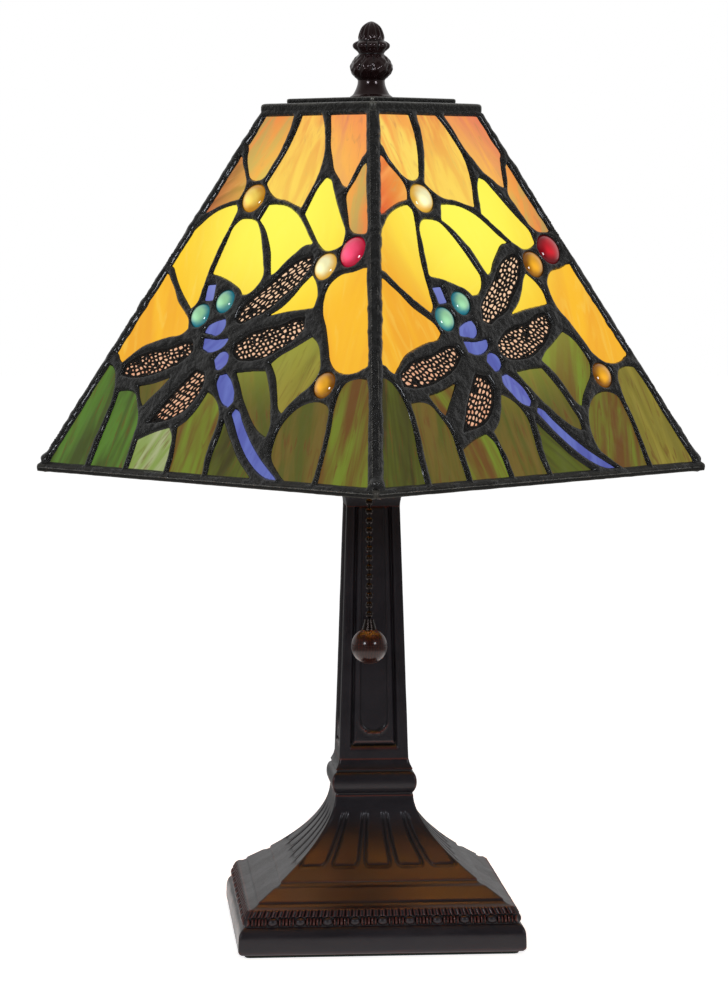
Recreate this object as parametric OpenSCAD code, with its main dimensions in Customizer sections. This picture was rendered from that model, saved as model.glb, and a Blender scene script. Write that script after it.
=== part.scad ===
// Stained glass table lamp: a square tapered shade of leaded panes on a cast column and stepped foot.
// The origin is the middle of the felt, on the table. +Z is up, and the foot's front looks along -Y.

/* [Foot] */
// Side of the square foot
base_w = 127; // [115:0.5:160]
// Height of the foot casting, above its felt
foot_h = 62.5; // [56:0.5:90]
// Height of the foot's plain bottom block
block_h = 12; // [11:0.5:15]
// Height of the moulded band above the block
band_h = 7.5; // [5:0.5:10]
// How far the moulded band is set in from the block
band_inset = 2; // [1:0.5:4]
// Height of the plain step under the flare
step_h = 3.6; // [2:0.2:5]
// How far the plain step is set in from the block
step_inset = 6.5; // [5:0.5:9]
// Side of the square neck where the flare ends
neck_w = 35.2; // [32:0.2:42]
// Bend of the flare: 1 is straight, and more is hollower
flare_bend = 1.75; // [1.2:0.05:2.2]
// Wall of the foot casting
foot_wall = 4.5; // [3:0.5:6]
// Thickness of the felt
felt_t = 1.5; // [1:0.1:3]
// How far the felt is set in from the foot's edge
felt_inset = 3; // [2:0.5:6]
// Gap round the weight inside the foot
weight_gap = 1.5; // [0.5:0.5:3]

/* [Column] */
// Height of the square collar between the foot and the column
collar_h = 16; // [12:0.5:24]
// Height of the tapered column
column_h = 114; // [90:1:160]
// Width of the column at its foot
column_foot_w = 31.2; // [28:0.2:36]
// Width of the column at its top
column_top_w = 24; // [20:0.2:28]
// Height of the capital on the column
capital_h = 14; // [8:0.5:24]
// Width of the capital's top
capital_w = 38; // [30:0.5:50]
// Width of the frame left round each sunk panel of the column
stile_w = 6.4; // [4:0.2:8]
// Depth of the sunk panels
panel_depth = 1.8; // [1:0.1:2.6]
// Groove round the raised tongue inside each sunk panel
tongue_groove = 2.4; // [1.5:0.1:3]
// How far the tongue rises from the bottom of its sunk panel
tongue_rise = 1.1; // [0.5:0.1:1.6]

/* [Pipe and nut] */
// Outside diameter of the threaded lamp pipe
pipe_d = 10; // [8:0.1:11]
// Bore of the lamp pipe
pipe_bore = 7; // [5:0.1:7.5]
// Radial gap between the pipe and the holes it passes through
pipe_gap = 0.3; // [0.1:0.1:0.8]
// Width across flats of the base nut
nut_af = 14.3; // [13:0.1:18]
// Height of the base nut
nut_h = 5; // [3:0.5:6]
// Thickness of the lock washer
lock_t = 1.2; // [0.8:0.1:1.6]
// Diameter of the base washer
washer_d = 36; // [24:1:44]
// Thickness of the base washer
washer_t = 1.8; // [1:0.1:2.5]
// Space between the base nut and the felt
nut_room = 1.5; // [0.5:0.1:2]
// Diameter of the check ring on the capital
check_d = 30; // [22:1:36]
// Thickness of the check ring
check_t = 2; // [1:0.1:3]

/* [Cord outlet] */
// Bore of the cord bush
cord_bore = 6.8; // [5:0.1:7]
// Wall of the cord bush
bush_wall = 1.6; // [1:0.1:1.8]
// Thickness of the flange on the bush
bush_flange_t = 1.5; // [1:0.1:2.5]
// How far the flange stands out round the bush
bush_flange = 0.8; // [0.4:0.1:1]

/* [Socket] */
// Outside diameter of the socket shell
socket_d = 34; // [32:0.1:41]
// Wall of the metal socket parts
socket_wall = 1; // [0.6:0.1:1.4]
// Height of the cup that the shell stands in
socket_cap_h = 12; // [10:0.5:16]
// Height of the shell above that cup
shell_h = 48; // [44:1:60]
// Height of the moulded block inside the shell
socket_body_h = 22; // [20:0.5:26]
// Bore of the screw shell
screw_bore = 27.2; // [26.8:0.1:27.6]
// Height of the screw shell
screw_h = 22; // [18:0.5:24]
// Direction of the pull chain round the column, from the front
socket_turn = -6; // [-40:1:40]
// Distance from the column's axis to the hanging chain
guide_reach = 40; // [32:0.5:50]
// Bore of the chain guide
guide_bore = 4.8; // [4:0.1:6]
// Wall of the chain guide
guide_wall = 1; // [0.8:0.1:1.5]
// Length of the guide's spout, from the arm's axis down to its mouth
spout_h = 10; // [8:0.5:14]

/* [Pull chain] */
// Diameter of one bead of the chain
bead_d = 3.2; // [2.4:0.1:3.6]
// Distance from one bead to the next
bead_pitch = 4.15; // [3.8:0.05:4.6]
// Number of beads
bead_count = 24; // [12:1:30]
// Beads inside the chain guide
guide_beads = 2; // [2:1:2]
// Thickness of the wire between beads
bead_wire = 1; // [0.6:0.1:1.4]
// Diameter of the pull ball
ball_d = 16; // [10:0.5:20]

/* [Harp] */
// Height of the harp, from its saddle up to the shade's seat
harp_h = 162.6; // [150:0.2:190]
// Distance between the middles of the harp's two legs
harp_w = 60; // [58:0.5:64]
// Thickness of the harp wire
harp_wire_d = 3; // [2.5:0.1:4]
// Thickness of the saddle strap
saddle_t = 2; // [1.5:0.1:3]
// Width of the saddle strap
saddle_w = 12; // [11:0.5:16]
// Diameter of the seat under the shade
seat_d = 12; // [10:0.5:16]
// Height of the seat
seat_h = 6.4; // [5:0.2:9]
// Diameter of the stud that holds the shade and the finial
stud_d = 6.2; // [5:0.1:7]
// Height of the stud above its seat
stud_h = 15; // [12:0.5:18]
// Radial clearance of what turns on the stud
stud_gap = 0.08; // [0.03:0.01:0.1]

/* [Bulb] */
// Diameter of the bulb
bulb_d = 48; // [44:0.5:50]
// Height of the bulb's middle above the socket shell
bulb_rise = 33; // [31:0.5:38]
// Diameter of the bulb's screw base
screw_base_d = 26.4; // [26:0.1:26.6]
// Wall of the bulb's glass
bulb_wall = 1; // [0.8:0.1:1.5]

/* [Shade] */
// Side of the square shade at its rim
shade_w = 212.5; // [180:0.5:260]
// Side of the square shade where the panes end at the top
shade_top_w = 68.7; // [62:0.1:90]
// Height from the rim to the cap's skirt
shade_h = 159.6; // [140:0.2:170]
// How far the shade is turned on the lamp
shade_turn = 41; // [0:1:90]
// Thickness of the lead cames
came_t = 4; // [3.4:0.1:5]
// How far the cames stand out from the drawn face
came_proud = 1; // [0.5:0.1:2]
// Thickness of the glass
glass_t = 3; // [2:0.1:3.2]
// How far the glass sits behind the cames' front
glass_set = 0.6; // [0.4:0.1:1]
// Distance from each hip to the side of the came panel
came_side = 3.4; // [3:0.1:5]
// Radius of the solder bead along each hip
hip_r = 4; // [3.4:0.1:5]
// Height of the rim
rim_h = 3.7; // [3:0.1:5]
// Depth of the rim, across its section
rim_depth = 7.8; // [7:0.1:10]
// How far the rim stands out from the face
rim_proud = 0.8; // [0.4:0.1:1.5]

/* [Jewels and filigree] */
// Height of each glass jewel's dome
jewel_dome = 2.4; // [1.5:0.1:3]
// Thickness of the wing filigree
filigree_t = 0.8; // [0.5:0.1:1.2]
// Radius of the holes in the filigree
lace_r = 1.3; // [1:0.1:1.5]
// Distance from one hole in the filigree to the next
lace_pitch = 3.6; // [3.4:0.1:5]

/* [Cap and finial] */
// Side of the square cap
cap_w = 71; // [66:0.5:94]
// Height of the cap, skirt and all
cap_h = 5; // [4:0.1:8]
// Thickness of the cap's sheet
cap_t = 1.2; // [0.8:0.1:1.6]
// Side of the square plate on the cap
cap_plate_w = 54; // [40:0.5:62]
// Thickness of the plate on the cap
cap_plate_t = 2.2; // [1:0.1:3]
// Height of the finial
finial_h = 34.4; // [26:0.2:50]
// Width of the finial's ball
finial_w = 18.9; // [17:0.1:24]
// Diameter of the threaded insert in the finial
insert_d = 9.4; // [8.6:0.1:9.8]
// Space left above the stud's end inside the insert
insert_room = 1; // [0.5:0.1:2]

/* [Hidden] */
$fn = 48;
eps = 0.01;

// Levels, from the table upwards
foot_z = felt_t;
collar_z = foot_z + foot_h;
column_z = collar_z + collar_h;
capital_z = column_z + column_h;
check_z = capital_z + capital_h;
saddle_z = check_z + check_t;
socket_z = saddle_z + saddle_t;
shell_z = socket_z + socket_cap_h;
seat_z = saddle_z + harp_h;
cap_z = seat_z - (cap_h - cap_t);
rim_z = cap_z - shade_h;
plate_z = seat_z + cap_t;
finial_z = plate_z + cap_plate_t;

// Half-widths of the foot, and the space inside it
band_half = base_w / 2 - band_inset;
step_half = base_w / 2 - step_inset;
flare_z = block_h + band_h + step_h;
flare_h = foot_h - flare_z;
flare_steps = 12;
// The hollow stops short of the neck, this share of the way up the flare
hollow_share = 0.78;
hollow_steps = 4;
cavity_half = step_half - foot_wall;
ledge_z = foot_z + flare_z;
cord_z = foot_z + block_h / 2;
nut_z = felt_t + nut_room;
lock_z = nut_z + nut_h;
washer_z = lock_z + lock_t;
weight_z = washer_z + washer_t;

// Socket and switch
socket_r = socket_d / 2;
liner_r = socket_r - socket_wall;
body_r = liner_r - socket_wall;
body_z = shell_z + 1;
screw_z = body_z + socket_body_h;
shell_top = shell_z + shell_h;
guide_z = body_z + 18;
guide_r = guide_bore / 2 + guide_wall;
cam_r = 4.6;
cam_t = 3;
cam_gap = 0.4;
cam_z = body_z + 10;
cam_pin_r = 1.2;
cam_pin_gap = 0.06;
terminal_z = body_z + 4;
terminal_r = 1.5;
terminal_h = 3;
// The screws' flat ends stay inside the round block
terminal_set = 0.2;
hub_r = pipe_d / 2 + 2.4;

// Pull chain
chain_top = guide_z - 3;
mouth_z = guide_z - spout_h;
last_bead_z = chain_top - (bead_count - 1) * bead_pitch;
ball_z = last_bead_z - ball_d / 2 - bead_d * 0.6;
ferrule_h = bead_d * 1.4;

// Bulb
bulb_z = shell_top + bulb_rise;
bulb_base_z = screw_z + 4;
bulb_base_h = 22;
bulb_neck_r = 11.6;

// Harp
harp_top_z = seat_z - seat_h + harp_wire_d / 2;
harp_bend_z = harp_top_z - harp_w / 2;
stud_top = seat_z + stud_h;
insert_h = stud_top + insert_room - finial_z;

// Shade: each face is laid out flat, u across it, v up it from the rim and n out of it
lean = (shade_w - shade_top_w) / 2;
slant = sqrt(shade_h * shade_h + lean * lean);
face_tilt = atan(lean / shade_h);
came_back = came_t - came_proud;
glass_front = came_proud - glass_set;
glass_back = glass_t - glass_front;
came_foot = 2.2;
came_head = slant + 3;
hip_lean = atan(lean * sqrt(2) / shade_h);
hip_length = sqrt(shade_h * shade_h + 2 * lean * lean);

// Size of the face that the panes below are drawn for
drawn_slant = 175;
drawn_half = 106.25;
drawn_lean = 0.411;

// Panes of one face, as [across, up] from the middle of its rim
orange_panes = [
  [[-32.5, 168], [-30, 174], [-13, 174], [-13, 166], [-14.5, 157], [-17.5, 148.5], [-19.5, 144],
   [-24, 142.5], [-28, 143.5], [-32, 148.5], [-35, 154.5], [-35.5, 160.5]],
  [[-8, 174], [4.5, 174], [8, 168.5], [11, 162], [13.5, 155], [14, 147], [13, 140], [11, 133.5],
   [10, 129.5], [5, 131], [-1, 133], [-9, 134.5], [-13, 137], [-17, 141], [-14, 148], [-11, 155.5],
   [-9, 164]],
  [[9.5, 174], [30, 174], [31.5, 170.5], [34.5, 163], [37.5, 155.5], [36, 148], [34, 139], [31, 140],
   [27, 143.5], [22.5, 147.5], [19, 153], [15.5, 159], [12.5, 167]],
  [[-38, 155], [-36, 150.5], [-32, 145], [-30, 141.5], [-29.5, 138], [-31, 133.5], [-36, 132.5],
   [-42.5, 130], [-49.5, 126.5]],
  [[39.5, 151], [41, 147], [45, 137], [49.5, 127], [52, 121], [53, 117.5], [51, 117.5], [46, 118],
   [43, 120], [40, 125], [37, 130.5], [35, 135], [37.5, 143]]
];
yellow_panes = [
  [[19, 144], [22, 143], [26, 138], [31, 131], [37, 123.5], [41.5, 117.5], [42, 112], [38, 110],
   [32.5, 109.5], [28, 112], [22.5, 117], [17.5, 122], [13, 126.5], [14.5, 133], [16.5, 140]],
  [[-11, 131], [-5, 131], [1, 130], [7.5, 127], [14, 122], [20, 116], [24, 112.5], [20, 112], [15, 108],
   [10, 103], [5.5, 98], [4, 97.5], [2, 102], [-0.5, 108], [-4.5, 114], [-9, 119.5], [-14, 123.5]],
  [[-26, 123.5], [-20.5, 124], [-16, 123], [-11, 117.5], [-6, 109], [-2.5, 102], [-0.5, 97], [-2, 92.5],
   [-6, 88.5], [-10, 88], [-12.5, 90.5], [-17.5, 93], [-24, 95.5], [-30, 97], [-33, 97.5], [-32, 104],
   [-30.5, 113], [-29, 120.5]],
  [[-35, 130.5], [-32, 131], [-30, 128.5], [-30.5, 124], [-32.5, 115.5], [-34.5, 108], [-35.5, 99],
   [-36, 90.5], [-37.5, 82], [-39.5, 80.5], [-45, 85], [-51, 90.5], [-56, 96], [-60, 101], [-57, 108],
   [-54, 115.5], [-50, 122], [-44, 127]],
  [[-61.5, 97.5], [-60, 95.5], [-55, 90.5], [-49, 83.5], [-42.5, 78.5], [-39, 75.5], [-37, 71],
   [-40, 68.5], [-47.5, 67], [-56, 64.5], [-62.5, 62], [-69, 57], [-73, 53.5], [-75.5, 55.5], [-77.5, 58.5]],
  [[59.5, 102], [61, 98], [67, 84], [72.5, 70.5], [77, 60], [78, 57], [75, 55], [68, 53.5], [61, 55],
   [57, 58], [52.5, 65.5], [47.5, 74], [43, 80.5], [41, 87], [41.5, 93], [46, 98], [54, 100]],
  [[11, 78.5], [22.5, 81], [30, 82], [37, 83], [36.5, 89], [33.5, 94], [29.5, 98], [25.5, 93.5], [22, 88],
   [17.5, 83]]
];
green_panes = [
  [[-80, 52.5], [-77, 50.5], [-73, 43], [-72, 37], [-72.5, 28], [-74.5, 17], [-75.5, 4], [-100, 4]],
  [[-69, 40], [-62, 40.5], [-57.5, 39], [-54, 34], [-50.5, 27], [-50, 15.5], [-50, 4], [-72, 4],
   [-71, 15.5], [-69.5, 28]],
  [[-57, 43], [-49, 44.5], [-38, 48], [-42.5, 42.5], [-47.5, 37], [-50.5, 33.5], [-54, 37.5]],
  [[-46.5, 18], [-37.5, 22], [-29, 24.5], [-25.5, 20.5], [-24, 13], [-23.5, 4], [-47, 4]],
  [[-12, 42], [-7.5, 40], [-2.5, 35.5], [0, 30.5], [0, 22], [-0.5, 13], [1, 4], [-20.5, 4], [-21, 12],
   [-23, 20.5], [-24, 25], [-20, 28], [-15.5, 34]],
  [[4, 29], [7.5, 25], [13.5, 18.5], [20, 12], [26, 7.5], [31, 4], [4, 4], [3, 13], [4, 22]],
  [[2, 51.5], [10, 52.5], [19.5, 53], [22.5, 49], [27, 42], [30.5, 34], [33, 27], [32.5, 23], [26.5, 25.5],
   [20.5, 30], [15.5, 35], [10.5, 40.5], [6, 46.5]],
  [[21, 56.5], [25, 60], [32, 64], [41, 69.5], [45, 67], [50, 60], [52, 54], [50, 48.5], [45, 43.5],
   [40, 38], [37.5, 34], [35, 35.5], [31, 42.5], [27, 50], [23.5, 54]],
  [[53, 40], [59, 40], [63.5, 38], [66, 30], [67.5, 18], [68, 4], [52, 4], [45, 8.5], [39, 14.5], [38, 21],
   [39.5, 29], [46, 37]],
  [[69, 49], [75, 51.5], [80, 51.5], [83.5, 44], [89, 30], [99.5, 4], [71, 4], [70, 15.5], [69, 28],
   [67, 39], [67.5, 45.5]]
];
blue_panes = [
  [[-33.5, 92], [-28, 92.5], [-27, 85], [-32.5, 84.5]],
  [[-26, 69.5], [-25, 72.5], [-21, 75], [-15.5, 76.5], [-14, 74], [-14.5, 70.5], [-17, 68.5], [-22, 69]],
  [[-25, 67], [-17, 66.5], [-9.5, 67.5], [-10, 64.5], [-14, 61.5], [-19, 60.5], [-24, 62]],
  [[-14.5, 57], [-12, 60.5], [-9, 61], [-6, 59], [-5.5, 56], [-8, 53], [-11.5, 52.5]],
  [[-8, 50], [-4, 51], [0.5, 47.5], [4.5, 42.5], [6, 38], [4, 35.5], [-0.5, 37], [-5.5, 42], [-8.5, 47]],
  [[7, 32.5], [8.5, 35], [11, 34], [15, 29.5], [20, 24.5], [25, 19.5], [32.5, 13.5], [40, 8.5],
   [46.5, 4.5], [40, 5], [32.5, 8], [25, 13], [17.5, 20], [11, 27.5]]
];
wing_panes = [
  [[-8.5, 76], [-7, 82], [-1, 88], [6, 94], [13, 101], [20, 105.5], [26.5, 107], [28, 104], [26, 99],
   [22, 92.5], [16, 87], [9, 80.5], [1, 77], [-5, 74.5]],
  [[-4, 65], [3, 70], [10, 72.5], [20, 74.5], [28.5, 78], [33.5, 78.5], [35, 73], [31, 68], [25, 63.5],
   [16, 59], [7.5, 57.5], [0, 58], [-4, 61.5]],
  [[-31, 65], [-29, 60.5], [-35, 55], [-44, 51], [-54, 48], [-64, 47], [-70, 48], [-70, 53], [-64, 57],
   [-55, 60], [-46, 61.5], [-37.5, 64.5]],
  [[-24, 52], [-17.5, 50.5], [-16, 45.5], [-18, 39], [-22.5, 33], [-29, 29], [-36, 27.5], [-43, 26],
   [-40, 30.5], [-36, 37], [-31, 43.5]]
];
// Round jewels of one face, as [across, up, radius]
amber_jewels = [[-22, 134, 6.7], [36, 102, 6.2], [57.5, 48, 5.9]];
ruby_jewels = [[49.5, 109, 7]];
teal_jewels = [[-19, 84.5, 5.4], [-32, 77.5, 5.5]];

// Finial outline, as [share of the ball's radius, share of the height]
finial_outline = [
  [0, 0], [1.01, 0], [0.95, 0.045], [0.78, 0.1], [0.69, 0.15], [0.645, 0.2], [0.76, 0.255], [0.905, 0.308],
  [0.985, 0.36], [1, 0.39], [0.985, 0.43], [0.93, 0.465], [0.835, 0.518], [0.69, 0.57], [0.655, 0.596],
  [0.67, 0.625], [0.78, 0.675], [0.815, 0.712], [0.765, 0.74], [0.645, 0.78], [0.595, 0.83], [0.53, 0.884],
  [0.455, 0.936], [0.31, 0.985], [0.12, 1], [0, 1]
];

// ---- Shared shapes ----

// A square body whose half-width follows an outline of [half-width, height] points
module square_turned(outline) {
  half_shape = concat(outline, [for (i = [len(outline) - 1:-1:0]) [-outline[i][0], outline[i][1]]]);
  reach = 2 * max([for (p = outline) p[0]]) + 2;
  intersection() {
    rotate([90, 0, 0]) linear_extrude(reach, center = true) polygon(half_shape);
    rotate([90, 0, 90]) linear_extrude(reach, center = true) polygon(half_shape);
  }
}

// A square box centred on the axis
module square_block(side, height) {
  translate([-side / 2, -side / 2, 0]) cube([side, side, height]);
}

// A round hole through everything along the axis
module pipe_hole(z_low, height) {
  translate([0, 0, z_low - 1]) cylinder(d = pipe_d + 2 * pipe_gap, h = height + 2);
}

// Lays flat work on side k of a square body whose sides lean inwards
module on_side(k, half, z, tilt) {
  rotate([0, 0, 90 * k]) translate([0, -half, z]) rotate([90 - tilt, 0, 0]) children();
}

// ---- Foot ----

// The flare's half-width, its slope and the half-width of the hollow a wall inside it, t of the way up
function flare_half(t) = neck_w / 2 + (step_half - neck_w / 2) * pow(1 - t, flare_bend);
function flare_slope(t) = flare_bend * pow(1 - t, flare_bend - 1) * (step_half - neck_w / 2) / flare_h;
function hollow_half(t) = flare_half(t) - foot_wall * sqrt(1 + flare_slope(t) * flare_slope(t));

module felt_pad() {
  color("darkolivegreen") square_block(base_w - 2 * felt_inset, felt_t);
}

module foot_casting() {
  outer = concat(
    [[base_w / 2, 0], [base_w / 2, block_h - 1], [base_w / 2 - 1, block_h]],
    [[band_half, block_h], [band_half, block_h + band_h], [step_half, block_h + band_h]],
    [for (i = [0:flare_steps]) [flare_half(i / flare_steps), flare_z + flare_h * i / flare_steps]]);
  inner = concat(
    [[cavity_half, -1], [cavity_half, flare_z]],
    [for (i = [0:hollow_steps]) [hollow_half(hollow_share * i / hollow_steps),
      flare_z + flare_h * hollow_share * i / hollow_steps]]);
  color([0.16, 0.13, 0.13]) translate([0, 0, foot_z]) difference() {
    square_turned(outer);
    square_turned(inner);
    pipe_hole(0, foot_h);
    translate([0, cavity_half - 1, block_h / 2]) rotate([-90, 0, 0])
      cylinder(d = cord_bore + 2 * bush_wall, h = base_w);
  }
}

module base_weight() {
  color("dimgray") translate([0, 0, weight_z]) difference() {
    square_block(2 * (cavity_half - weight_gap), ledge_z - weight_z);
    pipe_hole(0, ledge_z);
  }
}

module base_washer() {
  color("silver") translate([0, 0, washer_z]) difference() {
    cylinder(d = washer_d, h = washer_t);
    pipe_hole(0, washer_t);
  }
}

module lock_washer() {
  color("gray") translate([0, 0, lock_z]) difference() {
    cylinder(d = nut_af, h = lock_t);
    pipe_hole(0, lock_t);
  }
}

module base_nut() {
  color("goldenrod") translate([0, 0, nut_z]) difference() {
    cylinder(d = nut_af / cos(30), h = nut_h, $fn = 6);
    translate([0, 0, -1]) cylinder(d = pipe_d, h = nut_h + 2);
  }
}

module cord_bush() {
  bush_r = cord_bore / 2 + bush_wall;
  wall = base_w / 2 - cavity_half;
  color("black") translate([0, cavity_half, cord_z]) rotate([-90, 0, 0]) difference() {
    union() {
      cylinder(r = bush_r, h = wall);
      translate([0, 0, wall]) cylinder(r = bush_r + bush_flange, h = bush_flange_t);
    }
    translate([0, 0, -1]) cylinder(d = cord_bore, h = wall + bush_flange_t + 2);
  }
}

// ---- Column ----

module collar() {
  outline = [[neck_w / 2 - 0.6, 0], [neck_w / 2, 2], [neck_w / 2, collar_h - 5],
    [neck_w / 2 - 1.4, collar_h - 3.5], [column_foot_w / 2 + 0.2, collar_h]];
  color([0.15, 0.12, 0.12]) translate([0, 0, collar_z]) difference() {
    square_turned(outline);
    pipe_hole(0, collar_h);
  }
}

module column() {
  taper = atan((column_foot_w - column_top_w) / 2 / column_h);
  sill = 6;
  panel_h = column_h - 2 * sill;
  foot_half = column_foot_w / 2 - stile_w;
  top_half = column_top_w / 2 - stile_w * column_top_w / column_foot_w;
  tongue_half = foot_half - tongue_groove;
  color([0.14, 0.11, 0.11]) translate([0, 0, column_z]) difference() {
    square_turned([[column_foot_w / 2, 0], [column_top_w / 2, column_h]]);
    for (k = [0:3]) on_side(k, column_foot_w / 2, 0, taper) {
      translate([0, sill, -panel_depth]) linear_extrude(panel_depth + 2) difference() {
        polygon([[-foot_half, 0], [foot_half, 0], [top_half, panel_h], [-top_half, panel_h]]);
        column_tongue(tongue_half, top_half - tongue_groove, panel_h);
      }
      translate([0, sill, tongue_rise - panel_depth]) linear_extrude(panel_depth + 2)
        column_tongue(tongue_half, top_half - tongue_groove, panel_h);
    }
    pipe_hole(0, column_h);
  }
}

// The long raised tongue of a sunk panel, round at both ends
module column_tongue(foot_r, top_r, height) {
  low = foot_r + tongue_groove;
  high = height - top_r - tongue_groove;
  translate([0, low]) circle(foot_r);
  translate([0, high]) circle(top_r);
  polygon([[-foot_r, low], [foot_r, low], [top_r, high], [-top_r, high]]);
}

module capital() {
  rise = (capital_w - column_top_w) / 2;
  curve = [for (i = [0:6]) [column_top_w / 2 + rise * (1 - cos(15 * i)), (capital_h - 3) * sin(15 * i)]];
  color([0.15, 0.12, 0.12]) translate([0, 0, capital_z]) difference() {
    square_turned(concat(curve, [[capital_w / 2, capital_h]]));
    pipe_hole(0, capital_h);
  }
}

module lamp_pipe() {
  color("goldenrod") translate([0, 0, nut_z]) difference() {
    cylinder(d = pipe_d, h = shell_z - 2 - nut_z);
    translate([0, 0, -1]) cylinder(d = pipe_bore, h = shell_z);
  }
}

module check_ring() {
  color("goldenrod") translate([0, 0, check_z]) difference() {
    cylinder(d = check_d, h = check_t);
    pipe_hole(0, check_t);
  }
}

// ---- Harp ----

module harp_saddle() {
  color("goldenrod") translate([0, 0, saddle_z]) difference() {
    union() {
      translate([-harp_w / 2, -saddle_w / 2, 0]) cube([harp_w, saddle_w, saddle_t]);
      for (side = [-1, 1]) translate([side * harp_w / 2, 0, 0]) cylinder(d = saddle_w, h = saddle_t);
    }
    pipe_hole(0, saddle_t);
  }
}

module harp_loop() {
  color("goldenrod") {
    for (side = [-1, 1]) translate([side * harp_w / 2, 0, socket_z])
      cylinder(d = harp_wire_d, h = harp_bend_z - socket_z);
    translate([0, 0, harp_bend_z]) rotate([90, 0, 0])
      rotate_extrude(angle = 180) translate([harp_w / 2, 0]) circle(d = harp_wire_d);
  }
}

module harp_stud() {
  color("gold") {
    difference() {
      translate([0, 0, seat_z - seat_h]) cylinder(d = seat_d, h = seat_h);
      harp_loop();
    }
    translate([0, 0, seat_z - eps]) cylinder(d = stud_d, h = stud_h + eps);
  }
}

// ---- Socket and switch ----

module socket_cap() {
  color("goldenrod") translate([0, 0, socket_z]) difference() {
    union() {
      difference() {
        cylinder(r = socket_r + socket_wall, h = socket_cap_h + 3);
        translate([0, 0, socket_wall]) cylinder(r = socket_r, h = socket_cap_h + 4);
      }
      cylinder(r = hub_r, h = socket_cap_h - 2);
    }
    translate([0, 0, -1]) cylinder(d = pipe_d, h = socket_cap_h + 4);
  }
}

// A tube round the axis with a side hole for the chain guide
module socket_tube(outer_r, z_low, height, hole_r) {
  difference() {
    translate([0, 0, z_low]) cylinder(r = outer_r, h = height);
    translate([0, 0, z_low - 1]) cylinder(r = outer_r - socket_wall, h = height + 2);
    guide_axis() cylinder(r = hole_r, h = socket_d);
  }
}

// Turns work so that its +Z runs out along the chain guide's arm
module guide_axis() {
  rotate([0, 0, socket_turn]) translate([0, 0, guide_z]) rotate([90, 0, 0]) children();
}

module socket_shell() {
  low = socket_z + socket_wall;
  color("goldenrod") socket_tube(socket_r, low, shell_top - low, guide_r);
}

module socket_liner() {
  color("burlywood") socket_tube(liner_r, socket_z + socket_wall, shell_top - socket_z - 3, guide_r);
}

module socket_body() {
  color("saddlebrown") difference() {
    translate([0, 0, body_z - 1]) cylinder(r = body_r, h = socket_body_h + 1);
    // Well for the cam and its travel
    rotate([0, 0, socket_turn]) translate([0, 0, cam_z]) {
      rotate([0, 90, 0]) cylinder(r = cam_r + cam_gap, h = cam_t + 2 * cam_gap, center = true);
      rotate([0, 90, 0]) cylinder(r = cam_pin_r, h = 2 * body_r, center = true);
    }
    guide_axis() translate([0, 0, body_r - 6]) cylinder(r = guide_r, h = socket_d);
    terminals(terminal_h + 1);
  }
}

// One terminal screw on each side of the block, a length long from its inner end
module terminals(length) {
  for (turn = [0, 180]) rotate([0, 0, turn]) translate([body_r - terminal_h - terminal_set, 0, terminal_z])
    rotate([0, 90, 0]) cylinder(r = terminal_r, h = length);
}

module terminal_screws() {
  color("gold") terminals(terminal_h);
}

module cam_pin() {
  color("silver") rotate([0, 0, socket_turn]) translate([0, 0, cam_z])
    rotate([0, 90, 0]) cylinder(r = cam_pin_r, h = 2 * body_r - 8, center = true);
}

module switch_cam() {
  color("ivory") rotate([0, 0, socket_turn]) translate([0, 0, cam_z]) rotate([0, 90, 0]) difference() {
    cylinder(r = cam_r, h = cam_t, center = true);
    cylinder(r = cam_pin_r + cam_pin_gap, h = cam_t + 2, center = true);
    for (notch = [0:3]) rotate([0, 0, 45 + 90 * notch]) translate([cam_r, 0, 0])
      cylinder(r = 1, h = cam_t + 2, center = true);
  }
}

module screw_shell() {
  color("goldenrod") translate([0, 0, screw_z]) difference() {
    cylinder(d = screw_bore + socket_wall, h = screw_h);
    translate([0, 0, socket_wall]) cylinder(d = screw_bore, h = screw_h);
    translate([0, 0, -1]) cylinder(r = 6, h = 4);
  }
}

module centre_contact() {
  color("gold") translate([0, 0, screw_z]) cylinder(r = 4, h = 1.6);
}

module chain_guide() {
  inner_end = body_r - 6;
  arm = guide_reach - inner_end;
  color("goldenrod") difference() {
    union() {
      guide_axis() translate([0, 0, inner_end]) cylinder(r = guide_r, h = arm);
      at_chain(guide_z) sphere(r = guide_r);
      at_chain(mouth_z) cylinder(r = guide_r, h = spout_h);
      at_chain(mouth_z) cylinder(r1 = guide_r + 1.4, r2 = guide_r, h = 3);
    }
    guide_axis() translate([0, 0, inner_end - 1]) cylinder(d = guide_bore, h = arm + 1);
    at_chain(guide_z) sphere(d = guide_bore);
    at_chain(mouth_z - 1) cylinder(d = guide_bore, h = spout_h + 1);
  }
}

module guide_nut() {
  color("goldenrod") guide_axis() translate([0, 0, socket_r]) difference() {
    cylinder(r = guide_r + 2.2, h = 3, $fn = 6);
    translate([0, 0, -1]) cylinder(r = guide_r, h = 5);
  }
}

// ---- Pull chain ----

// Puts work on the hanging chain's own axis
module at_chain(z) {
  rotate([0, 0, socket_turn]) translate([0, -guide_reach, z]) children();
}

// Beads first to last, strung on their wire
module bead_run(first, last) {
  for (i = [first:last]) at_chain(chain_top - i * bead_pitch) sphere(d = bead_d);
  run = (last - first) * bead_pitch;
  at_chain(chain_top - last * bead_pitch) cylinder(d = bead_wire, h = run);
}

module guide_chain() {
  color("darkgoldenrod") bead_run(0, guide_beads - 1);
}

module pull_chain() {
  color("darkgoldenrod") bead_run(guide_beads, bead_count - 1);
}

module ball_ferrule() {
  color("darkgoldenrod") difference() {
    at_chain(ball_z + ball_d / 2 - 0.6) cylinder(r1 = bead_d, r2 = bead_d * 0.6, h = ferrule_h);
    at_chain(ball_z) sphere(d = ball_d);
    at_chain(last_bead_z) sphere(d = bead_d);
    at_chain(last_bead_z) cylinder(d = bead_wire, h = bead_pitch);
  }
}

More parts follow.
